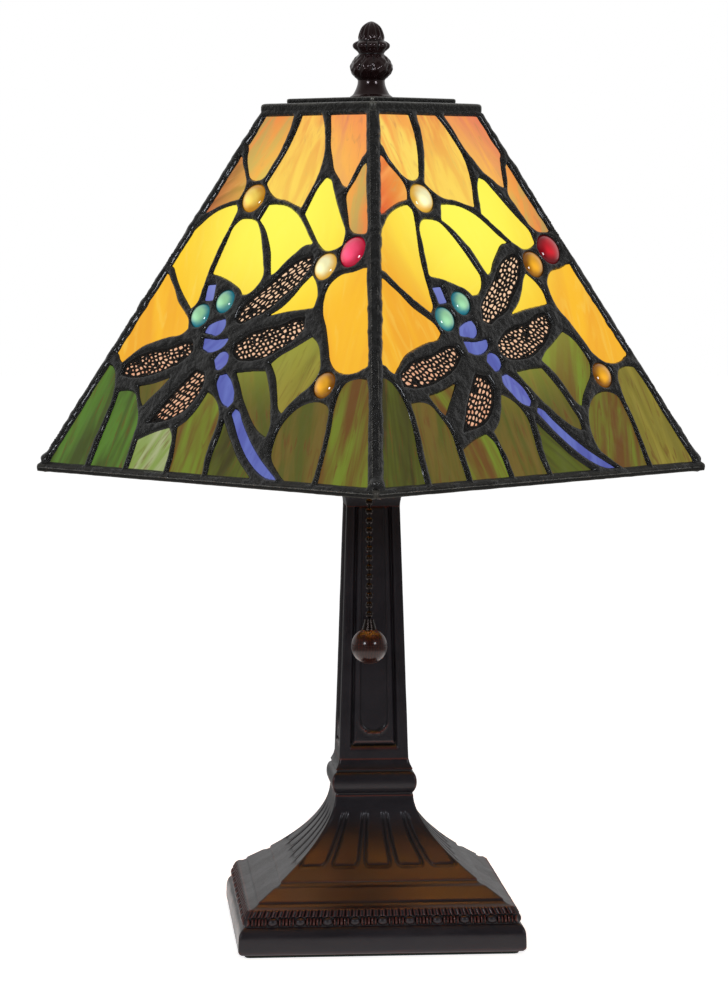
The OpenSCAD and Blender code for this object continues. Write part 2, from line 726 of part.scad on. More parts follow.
module pull_ball() {
  color("saddlebrown") at_chain(ball_z) sphere(d = ball_d);
}

// ---- Bulb ----

module bulb_base() {
  color("silver") translate([0, 0, bulb_base_z]) difference() {
    cylinder(d = screw_base_d, h = bulb_base_h);
    translate([0, 0, 1.2]) cylinder(r = bulb_neck_r, h = bulb_base_h);
    translate([0, 0, -1]) cylinder(r = 4, h = 3);
  }
}

module bulb_contact() {
  color("gold") translate([0, 0, bulb_base_z - 1.6]) cylinder(r = 4, h = 3.4);
}

// Outline of the bulb's glass, drawn a distance inside its outer face
function bulb_outline(inside) = let (
  ball_r = bulb_d / 2 - inside,
  neck = bulb_neck_r - inside,
  blend = asin(neck / (bulb_d / 2 - inside)))
  concat(
    [[0, ball_r]],
    [for (a = [10:10:180 - 10 * ceil(blend / 10)]) [ball_r * sin(a), ball_r * cos(a)]],
    [[neck, -ball_r * cos(blend) - 1]]);

module bulb_glass() {
  neck_low = bulb_z - (bulb_base_z + 4);
  outer = concat(bulb_outline(0), [[bulb_neck_r, -neck_low]]);
  inner = bulb_outline(bulb_wall);
  color([1, 0.97, 0.88, 0.6]) translate([0, 0, bulb_z]) rotate_extrude()
    polygon(concat(outer, [[bulb_neck_r - bulb_wall, -neck_low]],
      [for (i = [len(inner) - 1:-1:0]) inner[i]]));
}

module bulb_stem() {
  color([0.9, 0.95, 0.95, 0.6]) translate([0, 0, bulb_base_z + 4]) {
    cylinder(r = bulb_neck_r - bulb_wall, h = 1.5);
    cylinder(r1 = 5, r2 = 2.4, h = 14);
    cylinder(r = 2.4, h = 20);
  }
}

module bulb_filament() {
  wire_r = 0.4;
  low = bulb_base_z + 24;
  spread = 7;
  color("orange") {
    for (side = [-1, 1]) {
      translate([side * 1.4, 0, low]) cylinder(r = wire_r, h = 3);
      translate([side * spread, 0, low + 3 - wire_r]) cylinder(r = wire_r, h = bulb_z + 2 - low - 3);
    }
    translate([-spread - wire_r, 0, low + 3]) rotate([0, 90, 0]) cylinder(r = wire_r, h = spread - 1);
    translate([1.4 - wire_r, 0, low + 3]) rotate([0, 90, 0]) cylinder(r = wire_r, h = spread - 0.6);
    translate([-spread, 0, bulb_z + 2 - wire_r]) rotate([0, 90, 0]) cylinder(r = wire_r, h = 2 * spread);
  }
}

// ---- Shade ----

function face_half(v) = shade_w / 2 - lean * v / slant;
// A drawn point, moved so that it keeps its share of a face of another size
function fit(p) = let (v = p[1] * slant / drawn_slant)
  [p[0] * face_half(v) / (drawn_half - drawn_lean * p[1]), v];
function fit_all(outline) = [for (p = outline) fit(p)];
function total(list) = list * [for (item = list) 1];
function middle(outline) = [for (axis = [0, 1]) total([for (p = outline) p[axis]]) / len(outline)];
function shrunk(outline, share) = let (m = middle(outline)) [for (p = outline) m + share * (p - m)];

module on_face(k) {
  rotate([0, 0, shade_turn]) on_side(k, shade_w / 2, rim_z, face_tilt) children();
}

module each_face() {
  for (k = [0:3]) on_face(k) children();
}

// The flat slab of one face, between the hips
module face_slab() {
  low_half = face_half(came_foot) - came_side;
  high_half = face_half(came_head) - came_side;
  translate([0, 0, -came_back]) linear_extrude(came_t)
    polygon([[-low_half, came_foot], [low_half, came_foot], [high_half, came_head], [-high_half, came_head]]);
}

module panes(outlines, low, thick) {
  for (outline = outlines) translate([0, 0, low]) linear_extrude(thick) polygon(fit_all(outline));
}

// Round jewels: a plain edge in the lead and a domed face over it
module jewels(list) {
  for (j = list) {
    spot = fit([j[0], j[1]]);
    r = j[2];
    dome_r = (r * r + jewel_dome * jewel_dome) / (2 * jewel_dome);
    translate([spot[0], spot[1], -glass_back]) cylinder(r = r, h = glass_t);
    intersection() {
      translate([spot[0], spot[1], glass_front - eps]) cylinder(r = r, h = jewel_dome + 1);
      translate([spot[0], spot[1], glass_front + jewel_dome - dome_r]) sphere(r = dome_r);
    }
  }
}

module jewel_holes(list) {
  for (j = list) translate([fit([j[0], j[1]])[0], fit([j[0], j[1]])[1], -came_back - 1])
    cylinder(r = j[2], h = came_t + 2);
}

module came_panel(k) {
  color([0.17, 0.17, 0.16]) on_face(k) difference() {
    face_slab();
    for (group = [orange_panes, yellow_panes, green_panes, blue_panes, wing_panes])
      panes(group, -came_back - 1, came_t + 2);
    for (group = [amber_jewels, ruby_jewels, teal_jewels]) jewel_holes(group);
  }
}

module shade_rim() {
  outer = shade_w + 2 * rim_proud;
  inner = shade_w - 2 * rim_depth;
  color([0.15, 0.15, 0.14]) difference() {
    rotate([0, 0, shade_turn]) translate([0, 0, rim_z]) difference() {
      square_block(outer, rim_h);
      translate([0, 0, -1]) square_block(inner, rim_h + 2);
    }
    each_face() face_slab();
  }
}

module hip_seams() {
  color([0.2, 0.2, 0.19]) difference() {
    intersection() {
      for (k = [0:3]) rotate([0, 0, shade_turn + 45 + 90 * k]) translate([0, -shade_w / sqrt(2), rim_z])
        rotate([-hip_lean, 0, 0]) translate([0, came_back / 2, -10]) cylinder(r = hip_r, h = hip_length + 20);
      translate([0, 0, rim_z + rim_h]) cylinder(r = shade_w, h = shade_h - rim_h);
    }
    each_face() face_slab();
  }
}

module glass_group(outlines) {
  each_face() panes(outlines, -glass_back, glass_t);
}

module glass_orange() {
  color([0.96, 0.62, 0.3, 0.8]) glass_group(orange_panes);
}

module glass_yellow() {
  color([0.98, 0.83, 0.25, 0.8]) glass_group(yellow_panes);
}

module glass_green() {
  color([0.45, 0.53, 0.2, 0.8]) glass_group(green_panes);
}

module glass_blue() {
  color([0.38, 0.4, 0.75, 0.8]) glass_group(blue_panes);
}

module wing_glass() {
  color([0.93, 0.62, 0.45, 0.8]) each_face() panes(wing_panes, -glass_back, glass_t - filigree_t);
}

// Metal lace over each wing: its rim stays whole and its middle is pierced
module wing_filigree() {
  lace_low = glass_front - filigree_t;
  rim_share = 0.62;
  color([0.12, 0.11, 0.1]) each_face() for (wing = wing_panes) difference() {
    panes([wing], lace_low, filigree_t);
    translate([0, 0, lace_low - 1]) lace_holes(fit_all(wing), rim_share);
  }
}

// Round holes on a staggered grid, kept where their middles fall in a shrunken wing
module lace_holes(outline, share) {
  m = middle(outline);
  inner = shrunk(outline, share);
  for (row = [-9:9], col = [-12:12]) {
    spot = m + lace_pitch * [col + (row % 2 == 0 ? 0 : 0.5), row * 0.87];
    if (inside(spot, inner)) translate([spot[0], spot[1], 0])
      cylinder(r = lace_r, h = filigree_t + 2, $fn = 16);
  }
}

// Whether a point lies in an outline: it is inside when a ray crosses the outline an odd number of times
function crossings(p, o) = [for (i = [0:len(o) - 1]) let (a = o[i], b = o[(i + 1) % len(o)])
  if ((a[1] > p[1]) != (b[1] > p[1]) && p[0] < a[0] + (b[0] - a[0]) * (p[1] - a[1]) / (b[1] - a[1])) 1];
function inside(p, o) = len(crossings(p, o)) % 2 == 1;

module jewels_amber() {
  color([0.85, 0.6, 0.12, 0.8]) each_face() jewels(amber_jewels);
}

module jewels_ruby() {
  color([0.8, 0.05, 0.15, 0.8]) each_face() jewels(ruby_jewels);
}

module jewels_teal() {
  color([0.35, 0.72, 0.7, 0.8]) each_face() jewels(teal_jewels);
}

// ---- Cap and finial ----

module shade_cap() {
  skirt_t = 2;
  color([0.15, 0.14, 0.14]) difference() {
    rotate([0, 0, shade_turn]) translate([0, 0, cap_z]) difference() {
      square_block(cap_w, cap_h);
      translate([0, 0, -1]) square_block(cap_w - 2 * skirt_t, cap_h - cap_t + 1);
    }
    each_face() face_slab();
    translate([0, 0, cap_z]) cylinder(d = stud_d + 2 * stud_gap, h = cap_h + 1);
  }
}

module cap_plate() {
  color([0.2, 0.19, 0.18]) translate([0, 0, plate_z]) difference() {
    rotate([0, 0, shade_turn]) square_block(cap_plate_w, cap_plate_t);
    translate([0, 0, -1]) cylinder(d = stud_d + 2 * stud_gap, h = cap_plate_t + 2);
  }
}

module finial() {
  color([0.2, 0.13, 0.12]) translate([0, 0, finial_z]) difference() {
    rotate_extrude() polygon([for (p = finial_outline) [p[0] * finial_w / 2, p[1] * finial_h]]);
    translate([0, 0, -1]) cylinder(d = insert_d, h = insert_h + 1);
  }
}

module finial_insert() {
  color("goldenrod") translate([0, 0, finial_z]) difference() {
    cylinder(d = insert_d, h = insert_h);
    translate([0, 0, -1]) cylinder(d = stud_d + 2 * stud_gap, h = insert_h);
  }
}

felt_pad();
foot_casting();
base_weight();
base_washer();
lock_washer();
base_nut();
cord_bush();
collar();
column();
capital();
lamp_pipe();
check_ring();
harp_saddle();
harp_loop();
harp_stud();
socket_cap();
socket_shell();
socket_liner();
socket_body();
screw_shell();
centre_contact();
terminal_screws();
chain_guide();
guide_nut();
cam_pin();
switch_cam();
guide_chain();
pull_chain();
ball_ferrule();
pull_ball();
bulb_base();
bulb_contact();
bulb_glass();
bulb_stem();
bulb_filament();
came_panel(0);  // came_panel_1
came_panel(1);  // came_panel_2
came_panel(2);  // came_panel_3
came_panel(3);  // came_panel_4
hip_seams();
shade_rim();
glass_orange();
glass_yellow();
glass_green();
glass_blue();
wing_glass();
wing_filigree();
jewels_amber();
jewels_ruby();
jewels_teal();
shade_cap();
cap_plate();
finial();
finial_insert();
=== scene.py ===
# %% [markdown]
# # A stained glass table lamp
#
# The lamp is a square leaded shade, lit from inside, on a cast bronze foot and column. The CAD model
# fixes every size and place. This script loads it, measures it, and makes the surfaces that the CAD
# model leaves plain: solder beads, glass, jewels, pierced wings and cast relief.

# %% Load the frame
import math

import bmesh
import bpy
import numpy as np
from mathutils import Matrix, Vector
from mathutils.geometry import delaunay_2d_cdt


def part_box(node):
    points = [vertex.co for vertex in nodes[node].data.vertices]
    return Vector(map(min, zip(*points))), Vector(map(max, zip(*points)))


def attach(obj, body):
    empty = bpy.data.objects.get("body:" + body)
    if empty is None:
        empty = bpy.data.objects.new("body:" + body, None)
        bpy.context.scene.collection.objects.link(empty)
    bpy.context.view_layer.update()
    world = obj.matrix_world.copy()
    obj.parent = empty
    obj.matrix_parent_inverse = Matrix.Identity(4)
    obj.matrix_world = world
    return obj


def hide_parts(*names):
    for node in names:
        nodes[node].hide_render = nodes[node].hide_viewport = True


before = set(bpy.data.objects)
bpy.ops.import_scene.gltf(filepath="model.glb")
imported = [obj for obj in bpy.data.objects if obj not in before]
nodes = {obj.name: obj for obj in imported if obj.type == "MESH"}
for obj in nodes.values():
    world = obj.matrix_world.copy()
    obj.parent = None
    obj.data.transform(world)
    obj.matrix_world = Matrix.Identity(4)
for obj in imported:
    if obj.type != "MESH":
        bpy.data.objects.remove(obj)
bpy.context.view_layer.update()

# %% [markdown]
# ## Camera
#
# A product shot is taken from a little above the middle of the lamp with a long lens, so the sides of
# the column stay nearly parallel. The lens is long and the camera far away, which keeps the shade's
# near corner from looking swollen.

# %% Camera
CAMERA_AT = Vector((-0.1292, -1.5553, 0.3311))
CAMERA_AIM = Vector((0.0807, 0.9967, 0.0))
CAMERA_PITCH = 0.085
LENS = 126.1
SENSOR = 36.0

camera = bpy.data.objects.new("camera", bpy.data.cameras.new("camera"))
bpy.context.scene.collection.objects.link(camera)
camera.location = CAMERA_AT
aim = CAMERA_AIM * math.cos(CAMERA_PITCH) - Vector((0, 0, math.sin(CAMERA_PITCH)))
camera.rotation_euler = aim.to_track_quat("-Z", "Y").to_euler()
camera.data.lens = LENS
camera.data.sensor_width = SENSOR
bpy.context.scene.camera = camera
print("camera at", tuple(CAMERA_AT))

# %% [markdown]
# ## Mesh helpers
#
# Every new surface here is a grid of points worked out as whole numpy arrays. One helper turns points
# and faces into a mesh, and another lists the four-cornered faces of a grid. Sizes are in millimetres
# while a shape is being worked out, because that is how a maker thinks, and become metres at the end.

# %% Mesh helpers
MM = 0.001
SHARP = math.radians(38)
MERGE = 0.002 * MM
NO_LENGTH = 1e-9
finishes = {}


def grid_faces(rows, columns, wrap_rows=False, wrap_columns=False):
    """Corner numbers of each face of a grid: a point, its right neighbour, and the two above them."""
    row = np.arange(rows if wrap_rows else rows - 1)[:, None]
    column = np.arange(columns if wrap_columns else columns - 1)[None, :]
    above = (row + 1) % rows
    right = (column + 1) % columns
    corners = [row * columns + column, row * columns + right, above * columns + right,
               above * columns + column]
    return np.stack([np.broadcast_to(c, (row.size, column.size)).ravel() for c in corners], 1)


def build_mesh(name, points, face_lists):
    """A mesh from points in millimetres and from arrays of faces, each array with its own corner count."""
    mesh = bpy.data.meshes.new(name)
    mesh.vertices.add(len(points))
    mesh.vertices.foreach_set("co", (np.asarray(points, float) * MM).ravel())
    counts = np.concatenate([np.full(len(faces), faces.shape[1]) for faces in face_lists])
    corners = np.concatenate([faces.ravel() for faces in face_lists])
    mesh.loops.add(len(corners))
    mesh.loops.foreach_set("vertex_index", corners.astype(np.int32))
    mesh.polygons.add(len(counts))
    mesh.polygons.foreach_set("loop_start", np.concatenate([[0], np.cumsum(counts)[:-1]]).astype(np.int32))
    mesh.update(calc_edges=True)
    mesh.validate()
    return mesh


def close_poles(mesh):
    """Merges points that share a place, so a row that shrinks to nothing becomes one closed pole."""
    work = bmesh.new()
    work.from_mesh(mesh)
    bmesh.ops.remove_doubles(work, verts=work.verts, dist=MERGE)
    bmesh.ops.recalc_face_normals(work, faces=work.faces)
    work.to_mesh(mesh)
    work.free()


def mark_ridges(mesh):
    """Stores how far each point stands out from its neighbours' middle, over their distance, as 'ridge'."""
    points = np.zeros(len(mesh.vertices) * 3)
    mesh.vertices.foreach_get("co", points)
    points = points.reshape(-1, 3)
    ends = np.zeros(len(mesh.edges) * 2, np.int32)
    mesh.edges.foreach_get("vertices", ends)
    first, second = ends.reshape(-1, 2).T
    normals = np.zeros(len(points) * 3)
    mesh.vertex_normals.foreach_get("vector", normals)
    near = np.zeros_like(points)
    np.add.at(near, first, points[second])
    np.add.at(near, second, points[first])
    count = np.bincount(ends, minlength=len(points)).clip(1)
    length = np.linalg.norm(points[first] - points[second], axis=1)
    reach = np.bincount(first, length, len(points)) + np.bincount(second, length, len(points))
    stand = ((points - near / count[:, None]) * normals.reshape(-1, 3)).sum(1)
    ridge = stand / (reach / count).clip(NO_LENGTH)
    mesh.attributes.new("ridge", "FLOAT", "POINT").data.foreach_set("value", ridge.astype(np.float32))


def rings(radius, height, around, centre=(0.0, 0.0)):
    """Rows of points round an upright line: centre + radius (cos angle, sin angle), at each height."""
    angle = np.linspace(0, 2 * math.pi, around, endpoint=False)
    x = centre[0] + radius * np.cos(angle)
    y = centre[1] + radius * np.sin(angle)
    return np.stack([x, y, np.broadcast_to(height, x.shape)], -1)


def join(parts):
    """Several (points, face arrays) as one: each part's point numbers are moved past those before it."""
    starts = np.cumsum([0] + [len(points) for points, _ in parts])
    kinds = zip(*(faces for _, faces in parts))
    faces = [np.concatenate([one + start for one, start in zip(kind, starts)]) for kind in kinds]
    return np.concatenate([points for points, _ in parts]), faces


def add_piece(mesh, body, slot, node):
    """Puts a mesh in the scene: its slot's finish, the body it rides on and the CAD node it stands for."""
    mesh.shade_smooth()
    mesh.set_sharp_from_angle(angle=SHARP)
    mesh.materials.append(finishes[slot])
    piece = bpy.data.objects.new(mesh.name, mesh)
    bpy.context.scene.collection.objects.link(piece)
    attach(piece, body)
    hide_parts(node)
    mesh.calc_loop_triangles()
    print(f"{mesh.name}: {len(mesh.loop_triangles)} triangles")


def smooth_step(low, high, value):
    """0 below low, 1 above high, and 3t^2 - 2t^3 between them."""
    t = np.clip((value - low) / (high - low), 0, 1)
    return t * t * (3 - 2 * t)


# %% [markdown]
# ## Lumps
#
# Hand-run solder and sand-cast bronze are never perfectly even. `lumps` is value noise: a random height
# at each corner of a lattice, blended smoothly between corners. The random heights come from a hash of
# the corner's number, so the same lumps appear on every run.

# %% Lumps
HASH_STEPS = np.array([73856093, 19349663, 83492791])
HASH_SEED = 97561
HASH_MIX = 1274126177
WORD = 0xFFFF


def corner_height(cell, seed):
    """A repeatable height from -1 to 1 for a lattice corner: its numbers multiplied, mixed and cut short."""
    mixed = (cell * HASH_STEPS[:cell.shape[1]]).sum(1) + seed * HASH_SEED
    mixed = (mixed ^ (mixed >> 13)) * HASH_MIX
    return ((mixed ^ (mixed >> 16)) & WORD) / WORD * 2 - 1


def lumps(points, size, seed):
    """Corner heights blended by 3t^2 - 2t^3 along each axis, on a lattice of the given size."""
    scaled = points / size
    cell = np.floor(scaled).astype(np.int64)
    part = scaled - cell
    part = part * part * (3 - 2 * part)
    height = np.zeros(len(points))
    for corner in np.ndindex(*(2,) * points.shape[1]):
        chosen = np.array(corner)
        weight = np.prod(np.where(chosen, part, 1 - part), axis=1)
        height += weight * corner_height(cell + chosen, seed)
    return height


# %% [markdown]
# ## Shader helpers
#
# Node trees are easier to read when each node takes one line. `add` makes a node and fills its inputs,
# either with a value or with a link from another node's output. Colours are written as they look on a
# screen, from 0 to 255, and turned into the linear values that the shader works with.

# %% Shader helpers
def paint(red, green, blue):
    """A screen colour made linear: each channel c becomes ((c + 0.055) / 1.055) ^ 2.4, or c / 12.92."""
    screen = np.array([red, green, blue]) / 255
    linear = np.where(screen <= 0.04045, screen / 12.92, ((screen + 0.055) / 1.055) ** 2.4)
    return (*linear.tolist(), 1.0)


def add(tree, kind, settings=None, **inputs):
    """Adds a node. Inputs go by name, with _ for a space, or by place, as in0, in1 and so on."""
    made = tree.nodes.new(kind)
    for name, value in (settings or {}).items():
        setattr(made, name, value)
    for name, value in inputs.items():
        place = int(name[2:]) if name[:2] == "in" and name[2:].isdigit() else name.replace("_", " ")
        if isinstance(value, bpy.types.NodeSocket):
            tree.links.new(value, made.inputs[place])
        else:
            made.inputs[place].default_value = value
    return made


def calculate(tree, operation, first, second=0.0, third=0.0):
    """One Math node: operation applied to up to three numbers."""
    made = add(tree, "ShaderNodeMath", {"operation": operation}, in0=first, in1=second, in2=third)
    return made.outputs[0]


def vector(tree, operation, first, **inputs):
    """One Vector Math node: gives its number for a length or a distance, and otherwise its vector."""
    made = add(tree, "ShaderNodeVectorMath", {"operation": operation}, in0=first, **inputs)
    return made.outputs["Value" if operation in ("LENGTH", "DISTANCE") else "Vector"]


def noise(tree, place, scale, detail=2.0, distortion=0.0):
    """One Noise Texture node's value."""
    return add(tree, "ShaderNodeTexNoise", Vector=place, Scale=scale, Detail=detail,
               Distortion=distortion).outputs[0]


def stored(tree, name):
    """A stored attribute node's outputs."""
    return add(tree, "ShaderNodeAttribute", {"attribute_name": name}).outputs


def blend_colours(tree, share, first, second):
    """A colour mix: the first colour where share is 0, and the second where it is 1."""
    return add(tree, "ShaderNodeMix", {"data_type": "RGBA"}, in0=share, in6=first, in7=second).outputs[2]


def remap(tree, value, low, high, to_low=0.0, to_high=1.0):
    """Moves a value from one range to another along a smooth step, and holds it at the ends."""
    return add(tree, "ShaderNodeMapRange", {"interpolation_type": "SMOOTHSTEP"}, Value=value,
               From_Min=low, From_Max=high, To_Min=to_low, To_Max=to_high).outputs[0]


def object_place(tree):
    """The point's place in its object, which is also its place in the lamp."""
    return add(tree, "ShaderNodeTexCoord").outputs["Object"]


def new_group(name, inputs, outputs):
    """A node group: inputs are {label: start value}, vectors as tuples, and outputs are number labels."""
    group = bpy.data.node_groups.new(name, "ShaderNodeTree")
    for label, value in inputs.items():
        kind = "NodeSocketVector" if isinstance(value, tuple) else "NodeSocketFloat"
        group.interface.new_socket(label, in_out="INPUT", socket_type=kind).default_value = value
    for label in outputs:
        group.interface.new_socket(label, in_out="OUTPUT", socket_type="NodeSocketFloat")
    return group, group.nodes.new("NodeGroupInput").outputs, group.nodes.new("NodeGroupOutput").inputs


def use_group(tree, group, **inputs):
    """Places a group in a material with its own values."""
    return add(tree, "ShaderNodeGroup", {"node_tree": group}, **inputs).outputs


def new_material(name, **inputs):
    """A material with one Principled shader; gives the material, its tree and the shader."""
    material = bpy.data.materials.new(name)
    material.use_nodes = True
    tree = material.node_tree
    shader = tree.nodes["Principled BSDF"]
    for label, value in inputs.items():
        shader.inputs[label.replace("_", " ")].default_value = value
    return material, tree, shader


def feed(tree, shader, **sources):
    """Links outputs to the shader's inputs by name, with _ for a space."""
    for label, source in sources.items():
        tree.links.new(source, shader.inputs[label.replace("_", " ")])


def bump(tree, shader, height, distance):
    """Feeds a height, in metres once multiplied by distance, to the shader's normal."""
    feed(tree, shader, Normal=add(tree, "ShaderNodeBump", Height=height, Distance=distance).outputs[0])


# %% [markdown]
# ## Shared effects
#
# Three effects turn up in more than one finish, so each is a node group, made once. The first reads
# the stored ridge value to find edges and hollows, and adds mottling; an edge is painted lighter and a
# hollow darker. On most metals the lighter edge is wear, and on the solder and cap it is a painted
# highlight, grey glints. `streaks` is the wispy two-colour swirl of opalescent glass. `bulb_glow` is
# how strongly a point is lit by the bulb, which falls off with its distance from the middle of the bulb.

# %% Shared effects
bulb_low, bulb_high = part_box("bulb_glass")
BULB_MIDDLE = (bulb_low + bulb_high) / 2
BULB_MIDDLE.z = bulb_high.z - (bulb_high.x - bulb_low.x) / 2
print("bulb middle", tuple(round(v, 4) for v in BULB_MIDDLE))


def make_wear_and_glint():
    """Edge = step of ridge, the hollow mask = step of -ridge, Mottle = two sizes of noise, Height = fine
    grain. Edge marks wear on most metals and a painted highlight, grey glints, on the solder and cap.
    """
    group, given, gives = new_group("wear_and_glint", {"Scale": 60.0, "Edge From": 0.03, "Edge To": 0.16},
                                    ("Edge", "Recess", "Mottle", "Height"))
    ridge = stored(group, "ridge")["Fac"]
    place = object_place(group)
    broad = noise(group, place, given["Scale"], 4.0)
    fine = noise(group, place, calculate(group, "MULTIPLY", given["Scale"], 14.0), 3.0)
    # edge mask: wear on most metals, a painted highlight (grey glints) on the solder and cap
    edge_mask = calculate(group, "MULTIPLY_ADD", broad, 0.10, ridge)
    edge_mask = calculate(group, "SUBTRACT", edge_mask, 0.05)
    group.links.new(remap(group, edge_mask, given["Edge From"], given["Edge To"]), gives["Edge"])
    hollow = calculate(group, "MULTIPLY", ridge, -1.0)
    group.links.new(remap(group, hollow, 0.015, 0.12), gives["Recess"])
    mottle = calculate(group, "MULTIPLY_ADD", fine, 0.35, calculate(group, "MULTIPLY", broad, 0.65))
    group.links.new(mottle, gives["Mottle"])
    group.links.new(fine, gives["Height"])
    return group


def make_streaks():
    """Noise stretched along the sheet and bent by itself; Streak is broad, and Wisp is thin and rare."""
    group, given, gives = new_group("streaks", {"Vector": (0, 0, 0), "Scale": 60.0, "Stretch": 0.22},
                                    ("Streak", "Wisp"))
    squeeze = add(group, "ShaderNodeCombineXYZ", X=1.0, Y=given["Stretch"], Z=1.0).outputs[0]
    long = vector(group, "MULTIPLY", given["Vector"], in1=squeeze)
    broad = noise(group, long, given["Scale"], 3.0, 0.8)
    thin = noise(group, long, calculate(group, "MULTIPLY", given["Scale"], 2.6), 4.0, 1.6)
    group.links.new(remap(group, broad, 0.36, 0.66), gives["Streak"])
    group.links.new(remap(group, thin, 0.54, 0.72), gives["Wisp"])
    return group


def make_bulb_glow():
    """Glow = 1 within Near of the bulb's middle, 0 beyond Far, and a smooth step between."""
    group, given, gives = new_group("bulb_glow", {"Near": 0.057, "Far": 0.150}, ("Glow",))
    reach = vector(group, "DISTANCE", object_place(group), in1=BULB_MIDDLE)
    group.links.new(remap(group, reach, given["Far"], given["Near"]), gives["Glow"])
    return group


wear_and_glint = make_wear_and_glint()
streaks = make_streaks()
bulb_glow = make_bulb_glow()
print("groups", [g.name for g in bpy.data.node_groups])

# %% [markdown]
# ## Metal finishes
#
# The foot and column are cast metal with a near-black bronze finish, rubbed through to red-brown where
# hands and cloths touch it. The solder lines were run with an iron and blackened, so they stay lumpy
# and catch small grey glints; the glints on the solder and cap are also a painted highlight, a lighter
# grey on every ridge. Brass, steel and the rest are hidden fittings, and get the same mottling with
# their own colours. Every metal is painted darker in its hollows.

# %% Metal finishes
EVEN_EDGES = (0.03, 0.16)
COAT_ROUGHNESS = 0.15
DARK_MOTTLE = 0.62
LIGHT_MOTTLE = 1.35
# Body, edge and hollow colours, roughness range, how metallic, mottle scale, grain height in metres,
# ridge range of the edge colour, and coat. The edge colour is wear on most metals and a painted
# highlight, grey glints, on the solder and cap
METALS = {
    "cast_bronze": ((31, 26, 32), (80, 33, 25), (6, 5, 6), (0.30, 0.44), 0.25, 60, 6e-5, (0.05, 0.26), 0.2),
    "finial_bronze": ((58, 34, 33), (96, 62, 56), (12, 7, 7), (0.14, 0.26), 0.4, 60, 6e-5, (0.06, 0.3), 0.7),
    # solder: the light grey edge colour is a painted highlight, glints on the ridges
    "solder": ((36, 35, 33), (120, 117, 110), (9, 9, 8), (0.14, 0.32), 0.6, 45, 1e-3, (0.08, 0.42), 0.8),
    "rim_lead": ((50, 49, 46), (96, 92, 84), (16, 16, 15), (0.3, 0.5), 0.5, 50, 3e-4, EVEN_EDGES, 0),
    # cap: the light grey edge colour is a painted highlight as well
    "cap_metal": ((42, 41, 38), (128, 126, 116), (12, 12, 11), (0.18, 0.36), 0.6, 45, 9e-4, EVEN_EDGES, 0.5),
    "filigree": ((30, 26, 24), (66, 56, 48), (10, 8, 7), (0.3, 0.5), 0.6, 150, 6e-5, EVEN_EDGES, 0),
    "brass": ((176, 138, 70), (222, 190, 118), (92, 66, 30), (0.2, 0.36), 1.0, 80, 6e-5, EVEN_EDGES, 0),
    "chain_brass": ((34, 24, 19), (64, 42, 28), (12, 8, 6), (0.16, 0.28), 0.7, 200, 6e-5, EVEN_EDGES, 0),
    "steel": ((150, 150, 150), (205, 205, 205), (70, 70, 70), (0.3, 0.45), 1.0, 60, 6e-5, EVEN_EDGES, 0),
    "iron": ((62, 60, 60), (110, 106, 102), (28, 24, 22), (0.55, 0.75), 0.8, 60, 2e-4, EVEN_EDGES, 0),
    "bulb_metal": ((178, 176, 170), (214, 212, 206), (96, 92, 84), (0.22, 0.34), 1, 60, 6e-5, EVEN_EDGES, 0),
    "bakelite": ((30, 24, 22), (58, 44, 36), (14, 10, 9), (0.28, 0.4), 0.0, 60, 6e-5, EVEN_EDGES, 0),
    "fibre": ((176, 150, 108), (196, 172, 130), (120, 98, 66), (0.7, 0.85), 0.0, 90, 1e-4, EVEN_EDGES, 0),
    "bush_rubber": ((22, 22, 23), (44, 44, 45), (10, 10, 10), (0.5, 0.65), 0.0, 60, 6e-5, EVEN_EDGES, 0),
}


def metal(name, body, edge, dirt, roughness, metallic, scale, grain, edges, coat):
    """Body colour with lighter edges (wear, and a painted highlight on solder and cap), darker hollows
    and mottled roughness, all from one shared ridge group.
    """
    material, tree, shader = new_material(name, Metallic=metallic, Coat_Weight=coat,
                                          Coat_Roughness=COAT_ROUGHNESS)
    ridge_marks = use_group(tree, wear_and_glint, Scale=scale, Edge_From=edges[0], Edge_To=edges[1])
    body = np.array(paint(*body)[:3])
    colour = blend_colours(tree, ridge_marks["Mottle"], (*body * DARK_MOTTLE, 1), (*body * LIGHT_MOTTLE, 1))
    # darker in the hollows
    colour = blend_colours(tree, ridge_marks["Recess"], colour, paint(*dirt))
    # lighter on the edges: wear, and on the solder and cap a painted highlight (grey glints)
    colour = blend_colours(tree, ridge_marks["Edge"], colour, paint(*edge))
    feed(tree, shader, Base_Color=colour, Roughness=remap(tree, ridge_marks["Mottle"], 0.3, 0.7, *roughness))
    bump(tree, shader, ridge_marks["Height"], grain)
    return material


for name, row in METALS.items():
    finishes[name] = metal(name, *row)
print("metal finishes", len(finishes))

# %% [markdown]
# ## The square moulding
#
# The foot, collar, column and cap are all square mouldings: one outline of half-widths and heights,
# carried round four sides with mitred corners. A turned moulding would use a lathe; here each row of
# the outline is a square, and a relief can push any point in or out of its side. The corner is
# softened by a small radius, as a casting's corners are.

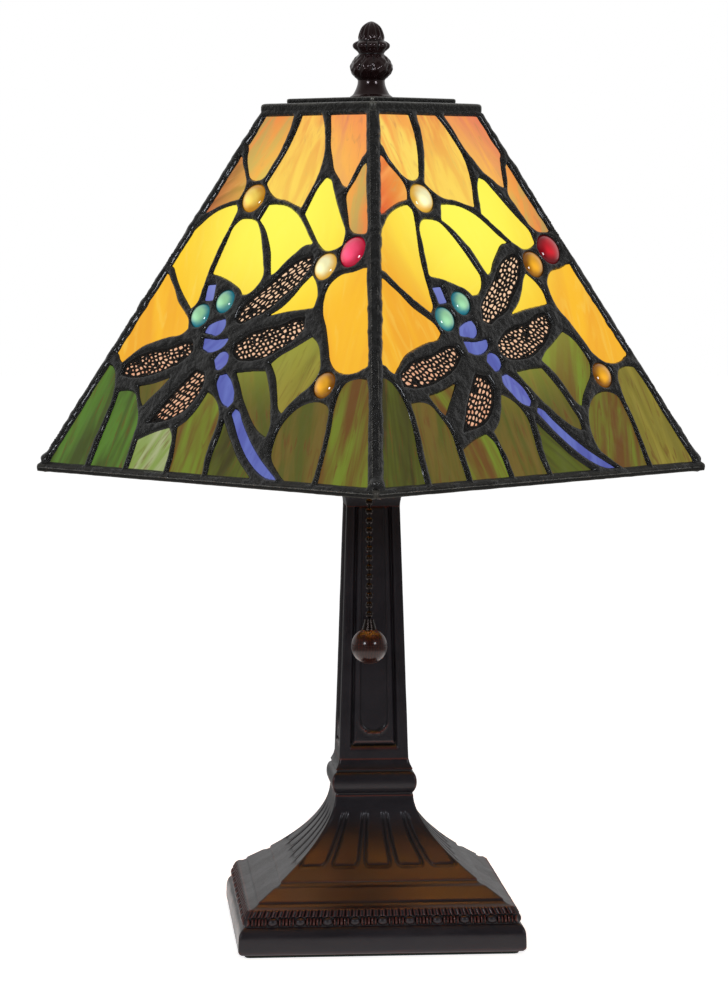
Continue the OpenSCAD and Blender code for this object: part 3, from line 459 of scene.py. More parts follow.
# %% The square moulding
def square_moulding(half, height, columns, relief, corner, turn):
    """Points of a moulding with one square per row.

    On one side, x runs from -half to half and y is -(half + relief); the other sides are that one
    turned by quarter turns. A point near a corner is pulled to a circle of the corner radius."""
    half = np.asarray(half, float)[:, None]
    height = np.asarray(height, float)[:, None]
    across = np.linspace(-1, 1, columns, endpoint=False)[None, :]
    out = np.zeros((len(half), columns)) if relief is None else relief(across * half, height, half)
    x = across * half
    y = np.broadcast_to(-half, x.shape)
    core = np.maximum(half - corner, 0)
    core_x = np.clip(x, -core, core)
    core_y = -core
    reach = np.hypot(x - core_x, y - core_y).clip(NO_LENGTH)
    radius = np.minimum(corner, half)
    x = core_x + (x - core_x) / reach * radius
    y = core_y + (y - core_y) / reach * radius - out
    sides = []
    for side in range(4):
        angle = turn + side * math.pi / 2
        sides.append(np.stack([x * math.cos(angle) - y * math.sin(angle),
                               x * math.sin(angle) + y * math.cos(angle),
                               np.broadcast_to(height, x.shape)], -1))
    return np.concatenate(sides, 1)


END_RING = 0.8
LUMP_SIZE = 5.0
LUMP_WAY = np.array([1, 1, 0.4])


def add_moulding(name, outline, columns, node, relief=None, corner=0.9, turn=0.0, roughen=0.0,
                 body="lamp_body", slot="cast_bronze"):
    """A closed piece from square_moulding: the first and last rows shrink to poles.

    A ring END_RING inside each end row keeps the flat ends from shading as cones."""
    half, height = np.asarray(outline).T
    half = np.concatenate([[0.0, max(half[0] - END_RING, 0.5 * half[0])], half,
                           [max(half[-1] - END_RING, 0.5 * half[-1]), 0.0]])
    height = np.concatenate([[height[0]] * 2, height, [height[-1]] * 2])
    points = square_moulding(half, height, columns, relief, corner, turn)
    rows, around = points.shape[:2]
    points = points.reshape(-1, 3)
    points = points + roughen * lumps(points, LUMP_SIZE, 3)[:, None] * LUMP_WAY
    mesh = build_mesh(name, points, [grid_faces(rows, around, wrap_columns=True)])
    close_poles(mesh)
    mark_ridges(mesh)
    add_piece(mesh, body, slot, node)


def through(points, spacing):
    """A smooth curve through outline points (Catmull-Rom), sampled at an even spacing along its length."""
    points = np.asarray(points, float)
    before = np.concatenate([points[:1], points[:-2]])
    start = points[:-1]
    stop = points[1:]
    after = np.concatenate([points[2:], points[-1:]])
    t = np.linspace(0, 1, 12, endpoint=False)[None, :, None]
    curve = 0.5 * (2 * start[:, None] + (stop - before)[:, None] * t
                   + (2 * before - 5 * start + 4 * stop - after)[:, None] * t ** 2
                   + (3 * start - before - 3 * stop + after)[:, None] * t ** 3)
    return even(np.concatenate([curve.reshape(-1, 2), points[-1:]]), spacing)


def even(points, spacing):
    """Points at equal steps along a broken line."""
    points = np.asarray(points, float)
    run = np.concatenate([[0], np.cumsum(np.linalg.norm(np.diff(points, axis=0), axis=1))])
    steps = np.linspace(0, run[-1], max(int(round(run[-1] / spacing)), 1) + 1)
    return np.stack([np.interp(steps, run, points[:, axis]) for axis in range(points.shape[1])], 1)


def size_of(name):
    """A CAD node's lowest and highest corner in millimetres."""
    low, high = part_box(name)
    return np.array(low) / MM, np.array(high) / MM


foot_low, foot_high = size_of("foot_casting")
collar_low, collar_high = size_of("collar")
column_low, column_high = size_of("column")
capital_low, capital_high = size_of("capital")
print("foot", foot_low.round(1), foot_high.round(1))

# %% [markdown]
# ## The foot's block and egg-and-dart band
#
# The bottom of the foot is a plain block with soft edges. On it stands a band of egg-and-dart, the old
# pattern of an oval between thin upright bars. It could be modelled motif by motif, but as a relief it
# is one formula: an oval dome near the middle of each repeat and narrow domes between, under a row of
# small tongues.

# %% Block and band
BLOCK_HALF = foot_high[0]
BLOCK_TOP = foot_low[2] + 12.0
BAND_TOP = BLOCK_TOP + 7.5
BAND_HALF = BLOCK_HALF - 2.0
EGGS = 10
DART_PLACES = (3.2, 4.6, 6.0)
EGG_LEVEL = 0.30
EGG_SHARE = 0.24
EGG_TOP = EGG_LEVEL + EGG_SHARE
EGG_HALF = 2.4
EGG_RISE = 1.5
DART_HALF = 0.66
DART_RISE = 1.25
TONGUE_RISE = 0.9
SLIT_HALF = 0.35
SLIT_DEPTH = 0.8
VEIN_HALF = 0.3
VEIN_DEPTH = 0.35


def bead(across, up):
    """A rounded bump: the square root of 1 - across^2 - up^2, and 0 outside."""
    return np.sqrt(np.clip(1 - across ** 2 - up ** 2, 0, 1))


def band_relief(along, height, half):
    """A row of eggs and darts under a row of leaf tongues parted by slits; 0 off the band and at corners."""
    pitch = 2 * BAND_HALF / EGGS
    run = along / half.clip(1) * BAND_HALF
    place = (run + pitch / 2) % pitch - pitch / 2
    up = (height - BLOCK_TOP) / (BAND_TOP - BLOCK_TOP)
    row = (up - EGG_LEVEL) / EGG_SHARE
    relief = EGG_RISE * bead(place / EGG_HALF, row)
    for spot in DART_PLACES:
        relief = np.maximum(relief, DART_RISE * bead((np.abs(place) - spot) / DART_HALF, row))
    leaf_place = (place + pitch / 8) % (pitch / 4) - pitch / 8
    over_eggs = smooth_step(EGG_TOP, EGG_TOP + 0.08, up) * smooth_step(1.0, 0.93, up)
    slit = np.exp(-((np.abs(leaf_place) - pitch / 8) / SLIT_HALF) ** 2)
    vein = np.exp(-(leaf_place / VEIN_HALF) ** 2)
    leaf = TONGUE_RISE - SLIT_DEPTH * slit - VEIN_DEPTH * vein
    relief = np.maximum(relief, leaf * over_eggs)
    return relief * smooth_step(BAND_HALF - 0.3, BAND_HALF - 1.6, np.abs(run))


block_outline = np.concatenate([
    [[BLOCK_HALF - 9, foot_low[2]]],
    through([[BLOCK_HALF - 1.2, foot_low[2]], [BLOCK_HALF - 0.2, foot_low[2] + 1.0],
             [BLOCK_HALF, foot_low[2] + 2.5], [BLOCK_HALF - 0.2, BLOCK_TOP - 4.2],
             [BLOCK_HALF - 0.9, BLOCK_TOP - 1.9], [BLOCK_HALF - 1.9, BLOCK_TOP - 0.6],
             [BAND_HALF - 0.6, BLOCK_TOP]], 0.7),
    even([[BAND_HALF - 0.9, BLOCK_TOP + 0.05], [BAND_HALF - 1.3, BLOCK_TOP + 4.0],
          [BAND_HALF - 3.2, BAND_TOP]], 0.26),
    [[BAND_HALF - 8, BAND_TOP + 0.1]]])
add_moulding("foot_block", block_outline, 300, "foot_casting", band_relief, 1.0, roughen=0.06)

# %% [markdown]
# ## The foot's flare
#
# Above the band the foot sweeps up to the column in a hollow curve. Two grooves run round it, and five
# tongues fan out on each side, each outlined by a thin groove with a rounded end. The tongues are wider
# apart at the bottom because the side itself widens, so their spacing is a share of the side's width.

# %% Flare
NECK_HALF = collar_high[0]
FLARE_HALF = BAND_HALF - 3.6
FLARE_RISE = foot_high[2] - BAND_TOP
GROOVE_LEVELS = (BAND_TOP + 1.1, BAND_TOP + 8.2)
TONGUE_FOOT = BAND_TOP + 14.5
TONGUE_HEAD = foot_high[2] - 6.0
TONGUES = (-2, -1, 0, 1, 2)
TONGUE_ROUND = 2.2
FLARE_TUCK = BAND_TOP - 0.4


def flare_half(share):
    """Half-width of the flare: the neck's, plus the rest times (1 - share)^1.75."""
    return NECK_HALF + (FLARE_HALF - NECK_HALF) * (1 - share) ** 1.75


def flare_relief(along, height, half):
    """Thin grooves round five tongues, and the tongues' own slight hollow.

    The distance to a tongue is that to a box with a rounded foot; a groove is a bell curve of it."""
    pitch = 0.34 * half + 2.2
    width = 0.395 * pitch
    relief = np.zeros_like(along)
    for place in TONGUES:
        aside = np.abs(along - place * pitch) - (width - TONGUE_ROUND)
        below = (TONGUE_FOOT - height) + TONGUE_ROUND
        outside = np.hypot(np.maximum(aside, 0), np.maximum(below, 0))
        gap = outside + np.minimum(np.maximum(aside, below), 0) - TONGUE_ROUND
        relief = relief - 0.85 * np.exp(-(gap / 0.55) ** 2) - 0.25 * smooth_step(0.3, -0.6, gap)
    window = smooth_step(TONGUE_HEAD, TONGUE_HEAD - 5.0, height)
    near_corner = smooth_step(0.2, 2.0, half - np.abs(along))
    return relief * window * near_corner


def flare_outline():
    """Rows of the flare with its two grooves cut in, each groove a bell curve of height."""
    share = np.linspace(0, 1, 1200)
    half = flare_half(share)
    height = BAND_TOP + FLARE_RISE * share
    for level in GROOVE_LEVELS:
        half = half - 1.1 * np.exp(-(((height - level) / 0.95) ** 4))
    return even(np.stack([half, height], 1), 0.6)


flare_rows = np.concatenate([[[FLARE_HALF - 4, FLARE_TUCK], [FLARE_HALF + 0.9, FLARE_TUCK]], flare_outline()])
add_moulding("foot_flare", flare_rows, 220, "foot_casting", flare_relief, 0.7, roughen=0.08)

# %% [markdown]
# ## The collar
#
# The collar is a rounded cushion with a bead above it, between the foot's neck and the column. It is a
# square moulding like the foot, so only its outline is new: a few points that a curve runs through.

# %% Collar
def collar_rows():
    """The collar's outline from the foot's neck to the column's foot: cove, cushion, bead and slope."""
    neck = NECK_HALF
    base = collar_low[2]
    top_half = column_high[0]
    rise = collar_high[2] - base
    shape = [[neck, 0], [neck - 0.2, 0.06], [neck + 0.5, 0.12], [neck + 1.3, 0.24], [neck + 1.5, 0.38],
             [neck + 1.2, 0.52], [neck + 0.4, 0.62], [neck - 0.5, 0.66], [neck - 0.6, 0.70],
             [neck - 0.2, 0.74], [neck - 0.7, 0.79], [top_half + 0.5, 0.90], [top_half + 0.1, 1.0]]
    return through([[half, base + share * rise] for half, share in shape], 0.35)


add_moulding("collar_moulding", collar_rows(), 60, "collar", roughen=0.06)

# %% [markdown]
# ## The column
#
# The column tapers, and each side has a sunk panel: a deep groove inside the frame, a flat, and a long
# tongue with a rounded foot let into it. The panels could be cut with booleans, but a relief keeps the
# mesh one clean grid, and the edges stay a little soft, as cast.

# %% Column
COLUMN_FOOT = column_high[0]
COLUMN_TOP = 12.0
STILE_SHARE = 0.30
SILL = 5.5


def column_half(height):
    """The column's half-width: a straight taper from foot to top."""
    share = (height - column_low[2]) / (column_high[2] - column_low[2])
    return COLUMN_FOOT + (COLUMN_TOP - COLUMN_FOOT) * share


def column_relief(along, height, half):
    """A groove just inside the frame, a sunk flat, and a tongue let in deeper with an arched foot."""
    panel = half * (1 - STILE_SHARE)
    inset = np.maximum(np.maximum(np.abs(along) - panel, column_low[2] + SILL - height),
                       height - column_high[2] - 2.0)
    groove = 1.2 * np.exp(-((inset + 0.9) / 0.85) ** 2)
    flat = 0.4 * smooth_step(0.0, -1.4, inset)
    tongue_half = panel * 0.56
    arch = column_low[2] + SILL + 7.0
    foot = np.maximum(arch + tongue_half * 0.9 - height, 0)
    gap = np.hypot(along, foot * 1.1) - tongue_half
    tongue = 0.7 * smooth_step(0.6, -0.4, gap) - 0.3 * np.exp(-((gap - 0.9) / 0.45) ** 2)
    return -(groove + flat + tongue) * smooth_step(0.2, 1.0, half - np.abs(along))


column_heights = np.arange(column_low[2], column_high[2] + 0.4, 0.8)
column_outline = np.stack([column_half(column_heights), column_heights], 1)
add_moulding("column_moulding", column_outline, 104, "column", column_relief, 0.8, roughen=0.05)

# %% [markdown]
# ## The capital
#
# The flared top is a plain outline without relief. It widens slowly and then fast, and ends in a
# narrow upright lip that catches the light.

# %% Capital
capital_rise = capital_high[2] - capital_low[2]
capital_shape = [[COLUMN_TOP, 0], [COLUMN_TOP + 0.2, 0.15], [COLUMN_TOP + 0.8, 0.35],
                 [COLUMN_TOP + 2.0, 0.58], [COLUMN_TOP + 4.2, 0.78],
                 [capital_high[0] - 0.4, 0.86], [capital_high[0], 0.90],
                 [capital_high[0], 0.97], [capital_high[0] - 0.5, 1.0]]
capital_outline = [[half, capital_low[2] + share * capital_rise] for half, share in capital_shape]
add_moulding("capital_moulding", through(capital_outline, 0.4), 60, "capital", roughen=0.05)

# %% [markdown]
# ## The shade's faces
#
# The shade is four flat leaded panels leaning together. Each is easiest to work on lying flat, so a
# face has its own axes: u across, v up from the rim, and n outwards. They are measured from the CAD
# panel: its front faces give n, and the rest follows.

# %% Face axes
CAME_PROUD = 1.0
GLASS_SET = 0.6
GLASS_FRONT = CAME_PROUD - GLASS_SET
GLASS_BACK = -2.6
MID_GLASS = (GLASS_FRONT + GLASS_BACK) / 2
WING_FRONT = 0.1


def node_points(name):
    """A CAD node's points in millimetres and its triangles as point numbers, with shared points merged."""
    mesh = nodes[name].data
    points = np.zeros(len(mesh.vertices) * 3, np.float32)
    mesh.vertices.foreach_get("co", points)
    mesh.calc_loop_triangles()
    triangles = np.zeros(len(mesh.loop_triangles) * 3, np.int32)
    mesh.loop_triangles.foreach_get("vertices", triangles)
    rounded = np.round(points.reshape(-1, 3) / MM, 3)
    unique, index = np.unique(rounded, axis=0, return_inverse=True)
    return unique, index.ravel()[triangles].reshape(-1, 3)


def measure_face(name):
    """The face's u, v and n directions and the point on its n = 0 plane over the middle of the rim."""
    points, triangles = node_points(name)
    a, b, c = (points[triangles[:, i]] for i in range(3))
    normal = np.cross(b - a, c - a)
    area = np.linalg.norm(normal, axis=1)
    rounded = np.round(normal / area[:, None].clip(NO_LENGTH), 2)
    directions, index = np.unique(rounded, axis=0, return_inverse=True)
    total = np.bincount(index.ravel(), area) * (directions[:, 2] > 0)
    out = normal[index.ravel() == total.argmax()].sum(0)
    out = out / np.linalg.norm(out)
    right = np.cross([0, 0, 1], out)
    right = right / np.linalg.norm(right)
    up = np.cross(out, right)
    level = (points @ out).max() - CAME_PROUD
    sideways = np.array([out[0], out[1], 0])
    sideways = sideways / np.linalg.norm(sideways)
    rim_level = size_of("shade_rim")[0][2]
    start = sideways * (level - rim_level * out[2]) / (out @ sideways) + np.array([0, 0, rim_level])
    return np.array([right, up, out]), start


FACE_AXES, FACE_START = measure_face("came_panel_1")
RIM_HALF = float(np.hypot(*FACE_START[:2]))
LEAN = float(np.hypot(*FACE_AXES[1][:2]))
SHADE_TURN = math.atan2(FACE_AXES[0][1], FACE_AXES[0][0])
SLANT = (size_of("came_panel_1")[1][2] - FACE_START[2]) / FACE_AXES[1][2]
print("rim half", round(RIM_HALF, 2), "lean", round(LEAN, 4), "turn", round(math.degrees(SHADE_TURN), 1))


def flat_place(points):
    """Lamp millimetres to face u, v, n: the dot products with the face's three axes."""
    return (points - FACE_START) @ FACE_AXES.T


def lamp_place(flat, side):
    """Face u, v, n to lamp millimetres, turned by side quarter turns about the lamp's axis."""
    points = flat @ FACE_AXES + FACE_START
    angle = side * math.pi / 2
    cosine = math.cos(angle)
    sine = math.sin(angle)
    return points @ np.array([[cosine, sine, 0], [-sine, cosine, 0], [0, 0, 1]])


def hip_half(v):
    """Half the face's width at height v, as far as the hip's edge line."""
    return RIM_HALF - LEAN * v


# %% [markdown]
# ## Pane outlines
#
# Every pane of glass is already drawn in the CAD model, with straight runs between a few points. Its
# outline is the loop of edges that only one front triangle uses. A glass cutter rounds those runs off,
# so each loop becomes a smooth curve, except at corners sharper than about 50 degrees, which stay.

# %% Pane outlines
CORNER_TURN = math.radians(50)
SPACING = 1.0
HIP_SPREAD = 1.5
WALK_STEPS = 200
SPAN_STEPS = 10
LEVEL_SLACK = 0.05


def outline_loops(name, level):
    """Loops of border edges of the triangles lying at n = level on the first face, as lists of u, v.

    Each border edge says which point follows its start. Every loop is walked at once, one step a turn,
    from its lowest-numbered point, and stops where it comes back."""
    points, triangles = node_points(name)
    flat = flat_place(points)
    on_level = (np.abs(flat[triangles, 2] - level) < LEVEL_SLACK).all(1)
    triangles = triangles[on_level]
    edges = np.concatenate([triangles[:, [0, 1]], triangles[:, [1, 2]], triangles[:, [2, 0]]])
    count = len(points)
    forward = edges[:, 0] * count + edges[:, 1]
    border = edges[~np.isin(forward, edges[:, 1] * count + edges[:, 0])]
    follows = np.full(count, -1)
    follows[border[:, 0]] = border[:, 1]
    label = np.arange(count)
    for _ in range(WALK_STEPS):
        np.minimum.at(label, border[:, 1], label[border[:, 0]])
    starts = np.unique(label[border[:, 0]])
    walk = [starts]
    for _ in range(WALK_STEPS):
        walk.append(follows[walk[-1]])
    walk = np.array(walk)
    loops = []
    for number, start in enumerate(starts):
        length = int(np.argmax(walk[1:, number] == start)) + 1
        loops.append(flat[walk[:length, number], :2])
    return sorted(loops, key=lambda loop: (-round(float(loop[:, 1].mean())), float(loop[:, 0].mean())))


def rounded_outline(loop):
    """A closed smooth curve through a loop's points, sampled evenly.

    Each span is a cubic whose end directions are the mean of its neighbours' directions, each weighted
    by the other's length; at a sharp corner the span's own direction is kept."""
    ahead = np.roll(loop, -1, 0) - loop
    length = np.linalg.norm(ahead, axis=1)[:, None]
    leave = ahead / length
    arrive = np.roll(leave, 1, 0)
    before = np.roll(length, 1, 0)
    mean = (arrive * length + leave * before) / (length + before)
    sharp = np.arccos(np.clip((leave * arrive).sum(1), -1, 1)) > CORNER_TURN
    leave = np.where(sharp[:, None], leave, mean)
    arrive = np.where(sharp[:, None], arrive, mean)
    t = np.linspace(0, 1, SPAN_STEPS, endpoint=False)[None, :, None]
    start = loop[:, None]
    stop = np.roll(loop, -1, 0)[:, None]
    push = (leave * length)[:, None]
    pull = np.roll(arrive, -1, 0)[:, None] * length[:, None]
    curve = ((2 * t ** 3 - 3 * t ** 2 + 1) * start + (t ** 3 - 2 * t ** 2 + t) * push
             + (3 * t ** 2 - 2 * t ** 3) * stop + (t ** 3 - t ** 2) * pull)
    closed = np.concatenate([curve.reshape(-1, 2), loop[:1]])
    outline = even(closed, SPACING)[:-1]
    margin = hip_half(outline[:, 1]) - np.abs(outline[:, 0])
    outline[:, 0] += np.sign(outline[:, 0]) * HIP_SPREAD * smooth_step(6.0, 4.6, margin)
    return outline


GLASS_NODES = {"glass_orange": GLASS_FRONT, "glass_yellow": GLASS_FRONT, "glass_green": GLASS_FRONT,
               "glass_blue": GLASS_FRONT, "wing_glass": GLASS_FRONT - 0.8}
JEWEL_NODES = ("jewels_amber", "jewels_ruby", "jewels_teal")
outlines = {name: [rounded_outline(loop) for loop in outline_loops(name, level)]
            for name, level in GLASS_NODES.items()}
jewel_spots = {}
for name in JEWEL_NODES:
    jewel_spots[name] = []
    for loop in outline_loops(name, GLASS_BACK):
        middle = loop.mean(0)
        radius = float(np.linalg.norm(loop - middle, axis=1).mean())
        jewel_spots[name].append((*middle, radius))
for name, made in outlines.items():
    print(name, [tuple(outline.mean(0).round(0).astype(int).tolist()) for outline in made])
for name, spots in jewel_spots.items():
    print(name, [tuple(round(float(value), 1) for value in spot) for spot in spots])

# %% [markdown]
# ## Distance to the panes
#
# The solder, the lace and the filling of each pane all need one number: how far a point is from the
# nearest outline, counted negative inside it. Each outline is tested only against the points near it.

# %% Distance to the panes
FAR = 8.0
JEWEL_STEPS = 40


def circle(centre, radius, steps):
    """Points round a circle."""
    angle = np.linspace(0, 2 * math.pi, steps, endpoint=False)
    return np.stack([centre[0] + radius * np.cos(angle), centre[1] + radius * np.sin(angle)], 1)


def outline_distance(points, loops):
    """Distance to the nearest span of any loop, negative where a sideways ray crosses that loop an odd
    number of times, and FAR where no loop is near."""
    nearest = np.full(len(points), FAR)
    for loop in loops:
        close = ((points > loop.min(0) - FAR) & (points < loop.max(0) + FAR)).all(1)
        here = points[close][:, None]
        start = loop[None]
        span = np.roll(loop, -1, 0)[None] - start
        along = ((here - start) * span).sum(2) / (span ** 2).sum(2).clip(NO_LENGTH)
        gap = np.linalg.norm(here - start - np.clip(along, 0, 1)[..., None] * span, axis=2).min(1)
        rises = (start[..., 1] > here[..., 1]) != (start[..., 1] + span[..., 1] > here[..., 1])
        level = (here[..., 1] - start[..., 1]) / np.where(rises, span[..., 1], 1)
        crossed = rises & (here[..., 0] < start[..., 0] + span[..., 0] * level)
        inside = crossed.sum(1) % 2 == 1
        nearest[close] = np.minimum(nearest[close], np.where(inside, -gap, gap))
    return nearest


def flat_grid(low, high, step):
    """A grid of u, v points over a box, row by row, with its row and column counts."""
    across = np.arange(low[0], high[0] + step, step)
    up = np.arange(low[1], high[1] + step, step)
    u, v = np.meshgrid(across, up)
    return np.stack([u.ravel(), v.ravel()], 1), len(up), len(across)


def two_sided(front, back, closed, faces):
    """Points and faces of a plate with holes, from its front and back points on one grid.

    Where a point is closed, front and back share it; faces with all four corners closed are left out."""
    count = len(front)
    keep = faces[~closed[faces].all(1)]
    behind = np.where(closed, np.arange(count), np.arange(count) + count)
    faces = np.concatenate([keep, behind[keep][:, ::-1]])
    used, index = np.unique(faces, return_inverse=True)
    return np.concatenate([front, back])[used], index.reshape(-1, 4)


# %% [markdown]
# ## Solder lines
#
# The cut edges of the glass are wrapped in copper foil and joined with a bead of solder on both sides.
# A bevelled curve along each line would cross badly where lines meet. Instead the whole web is one
# height over a grid: a round crown that depends on the distance to the nearest pane, so junctions fill
# in by themselves as molten solder does. Under a pane's edge the height dives into the glass, where the
# front and back sheets join, and nothing is left inside the panes.

# %% Solder web
WEB_STEP = 0.52
CROWN = 1.35
CROWN_WIDTH = 1.7
DIVE = 1.25
WEB_FOOT = 0.6
JEWEL_INSET = 0.05
BACK_CROWN = 0.7

all_loops = [loop for made in outlines.values() for loop in made]
for spots in jewel_spots.values():
    all_loops += [circle(spot[:2], spot[2] - JEWEL_INSET, JEWEL_STEPS) for spot in spots]

web_grid, web_rows, web_columns = flat_grid((-RIM_HALF, WEB_FOOT), (RIM_HALF, SLANT), WEB_STEP)
web_edge = hip_half(web_grid[:, 1])
web_border = (np.abs(web_grid[:, 0]) >= web_edge) | (web_grid[:, 1] <= WEB_FOOT) | (web_grid[:, 1] >= SLANT)
web_grid[:, 0] = np.clip(web_grid[:, 0], -web_edge, web_edge)
web_gap = outline_distance(web_grid, all_loops)
web_closed = web_border | (web_gap <= -DIVE)
web_faces = grid_faces(web_rows, web_columns)


def crown(gap, height):
    """A quarter-round rise from the pane's edge: height times the root of 1 - (1 - gap / width)^2."""
    share = np.clip(gap, 0, CROWN_WIDTH) / CROWN_WIDTH
    return height * np.sqrt(1 - (1 - share) ** 2)


def solder_web(side):
    """One face's web: crown plus lumps on each side of the glass, diving in where the gap is negative."""
    dive = (GLASS_FRONT - MID_GLASS) / DIVE * np.clip(-web_gap, 0, DIVE)
    rough = 0.20 * lumps(web_grid, 4.2, side) + 0.13 * lumps(web_grid, 1.9, side + 7)
    rise = np.where(web_gap > 0, crown(web_gap, CROWN + rough), 0)
    front_n = np.where(web_border, MID_GLASS, GLASS_FRONT + rise - dive)
    back_n = np.where(web_border, MID_GLASS, GLASS_BACK - BACK_CROWN * rise + dive)
    front = lamp_place(np.column_stack([web_grid, front_n]), side)
    back = lamp_place(np.column_stack([web_grid, back_n]), side)
    points, faces = two_sided(front, back, web_closed, web_faces)
    mesh = build_mesh(f"solder_web_{side + 1}", points, [faces])
    mark_ridges(mesh)
    return mesh


for side in range(4):
    add_piece(solder_web(side), "shade", "solder", f"came_panel_{side + 1}")

# %% [markdown]
# ## Panes of glass
#
# Each pane is a slightly wavy sheet that reaches a little way under the lead. A triangle fill follows
# the outline exactly, and a few points inside carry the waves. A maker cuts every pane from a different
# place on a sheet and turns it so that the streaks run the right way, so each pane gets its own turned
# and shifted UV map and its own pair of colours.

# %% Sheets of glass
SHEETS = {
    "honey": (paint(254, 218, 104), paint(246, 154, 76)),
    "coral": (paint(254, 194, 90), paint(230, 108, 66)),
    "peach": (paint(250, 150, 80), paint(230, 122, 92)),
    "flame": (paint(226, 70, 42), paint(250, 140, 84)),
    "rust": (paint(190, 96, 62), paint(132, 56, 44)),
    "smoke": (paint(190, 152, 86), paint(238, 134, 68)),
    "amber": (paint(251, 190, 44), paint(242, 170, 44)),
    "sun": (paint(253, 204, 40), paint(247, 186, 40)),
    "olive": (paint(112, 128, 38), paint(104, 70, 30)),
    "moss": (paint(84, 122, 42), paint(66, 78, 32)),
    "deep": (paint(86, 94, 28), paint(62, 58, 24)),
    "umber": (paint(110, 92, 38), paint(84, 86, 30)),
    "straw": (paint(146, 134, 52), paint(122, 112, 40)),
    "lime": (paint(130, 152, 74), paint(170, 176, 132)),
    "sky": (paint(100, 112, 186), paint(84, 92, 168)),
    "violet": (paint(92, 96, 176), paint(112, 124, 190)),
    "blush": (paint(236, 164, 126), paint(250, 196, 160)),
    "ochre jewel": (paint(228, 162, 26), paint(122, 72, 12)),
    "honey jewel": (paint(250, 214, 92), paint(198, 134, 22)),
    # near-white jewel: a painted highlight, the bulb seen shining through a clear jewel
    "pale jewel": (paint(254, 247, 190), paint(232, 178, 62)),
    "ruby jewel": (paint(190, 12, 32), paint(96, 5, 15)),
    "pink jewel": (paint(254, 76, 118), paint(186, 14, 52)),
    "teal jewel": (paint(150, 208, 160), paint(34, 118, 134)),
}
# Sheets for each pane of a face, from its top row down; the first list is the face to the right of the
# front corner, the second the one to its left, and the two behind repeat them
CUTS = {
    "glass_orange": ("honey peach coral flame smoke", "smoke peach coral rust smoke"),
    "glass_yellow": ("sun sun amber sun sun amber amber", "sun sun sun sun sun amber amber"),
    "glass_green": ("olive olive umber straw deep umber umber olive olive deep",
                    "straw umber umber olive moss moss olive umber lime deep"),
    "glass_blue": ("sky sky sky sky violet sky", "violet sky sky violet sky sky"),
    "wing_glass": ("blush blush blush blush", "blush blush blush blush"),
}
FACE_STYLE = (0, 1, 0, 1)
LEAD_COVER = 0.7
FILL_STEP = 4.0
WAVE = 0.10
WAVE_SIZE = 9.0
TURN_SPREAD = 0.35
SHIFT_SPREAD = 40
UV_MM = 100


def fill_outline(loop):
    """Triangles that fill an outline pushed out by LEAD_COVER, with a lattice of points inside it."""
    along = np.roll(loop, -1, 0) - np.roll(loop, 1, 0)
    outward = np.stack([along[:, 1], -along[:, 0]], 1) / np.linalg.norm(along, axis=1)[:, None]
    area = (loop[:, 0] * np.roll(loop[:, 1], -1) - np.roll(loop[:, 0], -1) * loop[:, 1]).sum()
    rim = loop + outward * LEAD_COVER * np.sign(area)
    lattice = flat_grid(loop.min(0), loop.max(0), FILL_STEP)[0]
    lattice = lattice[outline_distance(lattice, [loop]) < -FILL_STEP / 2]
    count = len(rim)
    spots = [Vector(spot) for spot in np.concatenate([rim, lattice]).tolist()]
    ring = [(i, (i + 1) % count) for i in range(count)]
    filled = delaunay_2d_cdt(spots, ring, [], 1, 1e-5)
    points = np.array([spot[:] for spot in filled[0]])
    triangles = np.array(filled[2])
    a, b, c = (points[triangles[:, i]] for i in range(3))
    turned = (b[:, 0] - a[:, 0]) * (c[:, 1] - a[:, 1]) - (b[:, 1] - a[:, 1]) * (c[:, 0] - a[:, 0]) < 0
    triangles[turned] = triangles[turned][:, ::-1]
    return points, triangles


def pane_shell(flat, triangles, front, back, seed):
    """A pane's front, back and edges: the fill at two levels, waved by lumps, joined round its border."""
    wave = WAVE * lumps(flat, WAVE_SIZE, seed)
    count = len(flat)
    points = np.concatenate([np.column_stack([flat, front + wave]), np.column_stack([flat, back + wave])])
    edges = np.concatenate([triangles[:, [0, 1]], triangles[:, [1, 2]], triangles[:, [2, 0]]])
    border = edges[~np.isin(edges[:, 0] * count + edges[:, 1], edges[:, 1] * count + edges[:, 0])]
    walls = np.stack([border[:, 1], border[:, 0], border[:, 0] + count, border[:, 1] + count], 1)
    return points, np.concatenate([triangles, triangles[:, ::-1] + count]), walls


def colour_points(mesh, name, colours):
    """Stores one colour per point as a named attribute."""
    made = mesh.color_attributes.new(name, "FLOAT_COLOR", "POINT")
    made.data.foreach_set("color", np.asarray(colours, np.float32).ravel())


def store_uv(mesh, name, places):
    """Stores a UV map from one place per point."""
    corners = np.zeros(len(mesh.loops), np.int32)
    mesh.loops.foreach_get("vertex_index", corners)
    layer = mesh.uv_layers.new(name=name)
    layer.data.foreach_set("uv", places[corners].astype(np.float32).ravel())


def coloured_mesh(name, parts, sheets, uvs):
    """Several (points, faces) parts as one mesh, with each part's two sheet colours and its UV map."""
    mesh = build_mesh(name, *join(parts))
    for label, colour in (("tint", 0), ("streak", 1)):
        colours = [np.tile(SHEETS[sheet][colour], (len(part[0]), 1)) for sheet, part in zip(sheets, parts)]
        colour_points(mesh, label, np.concatenate(colours))
    store_uv(mesh, "cut", np.concatenate(uvs))
    return mesh


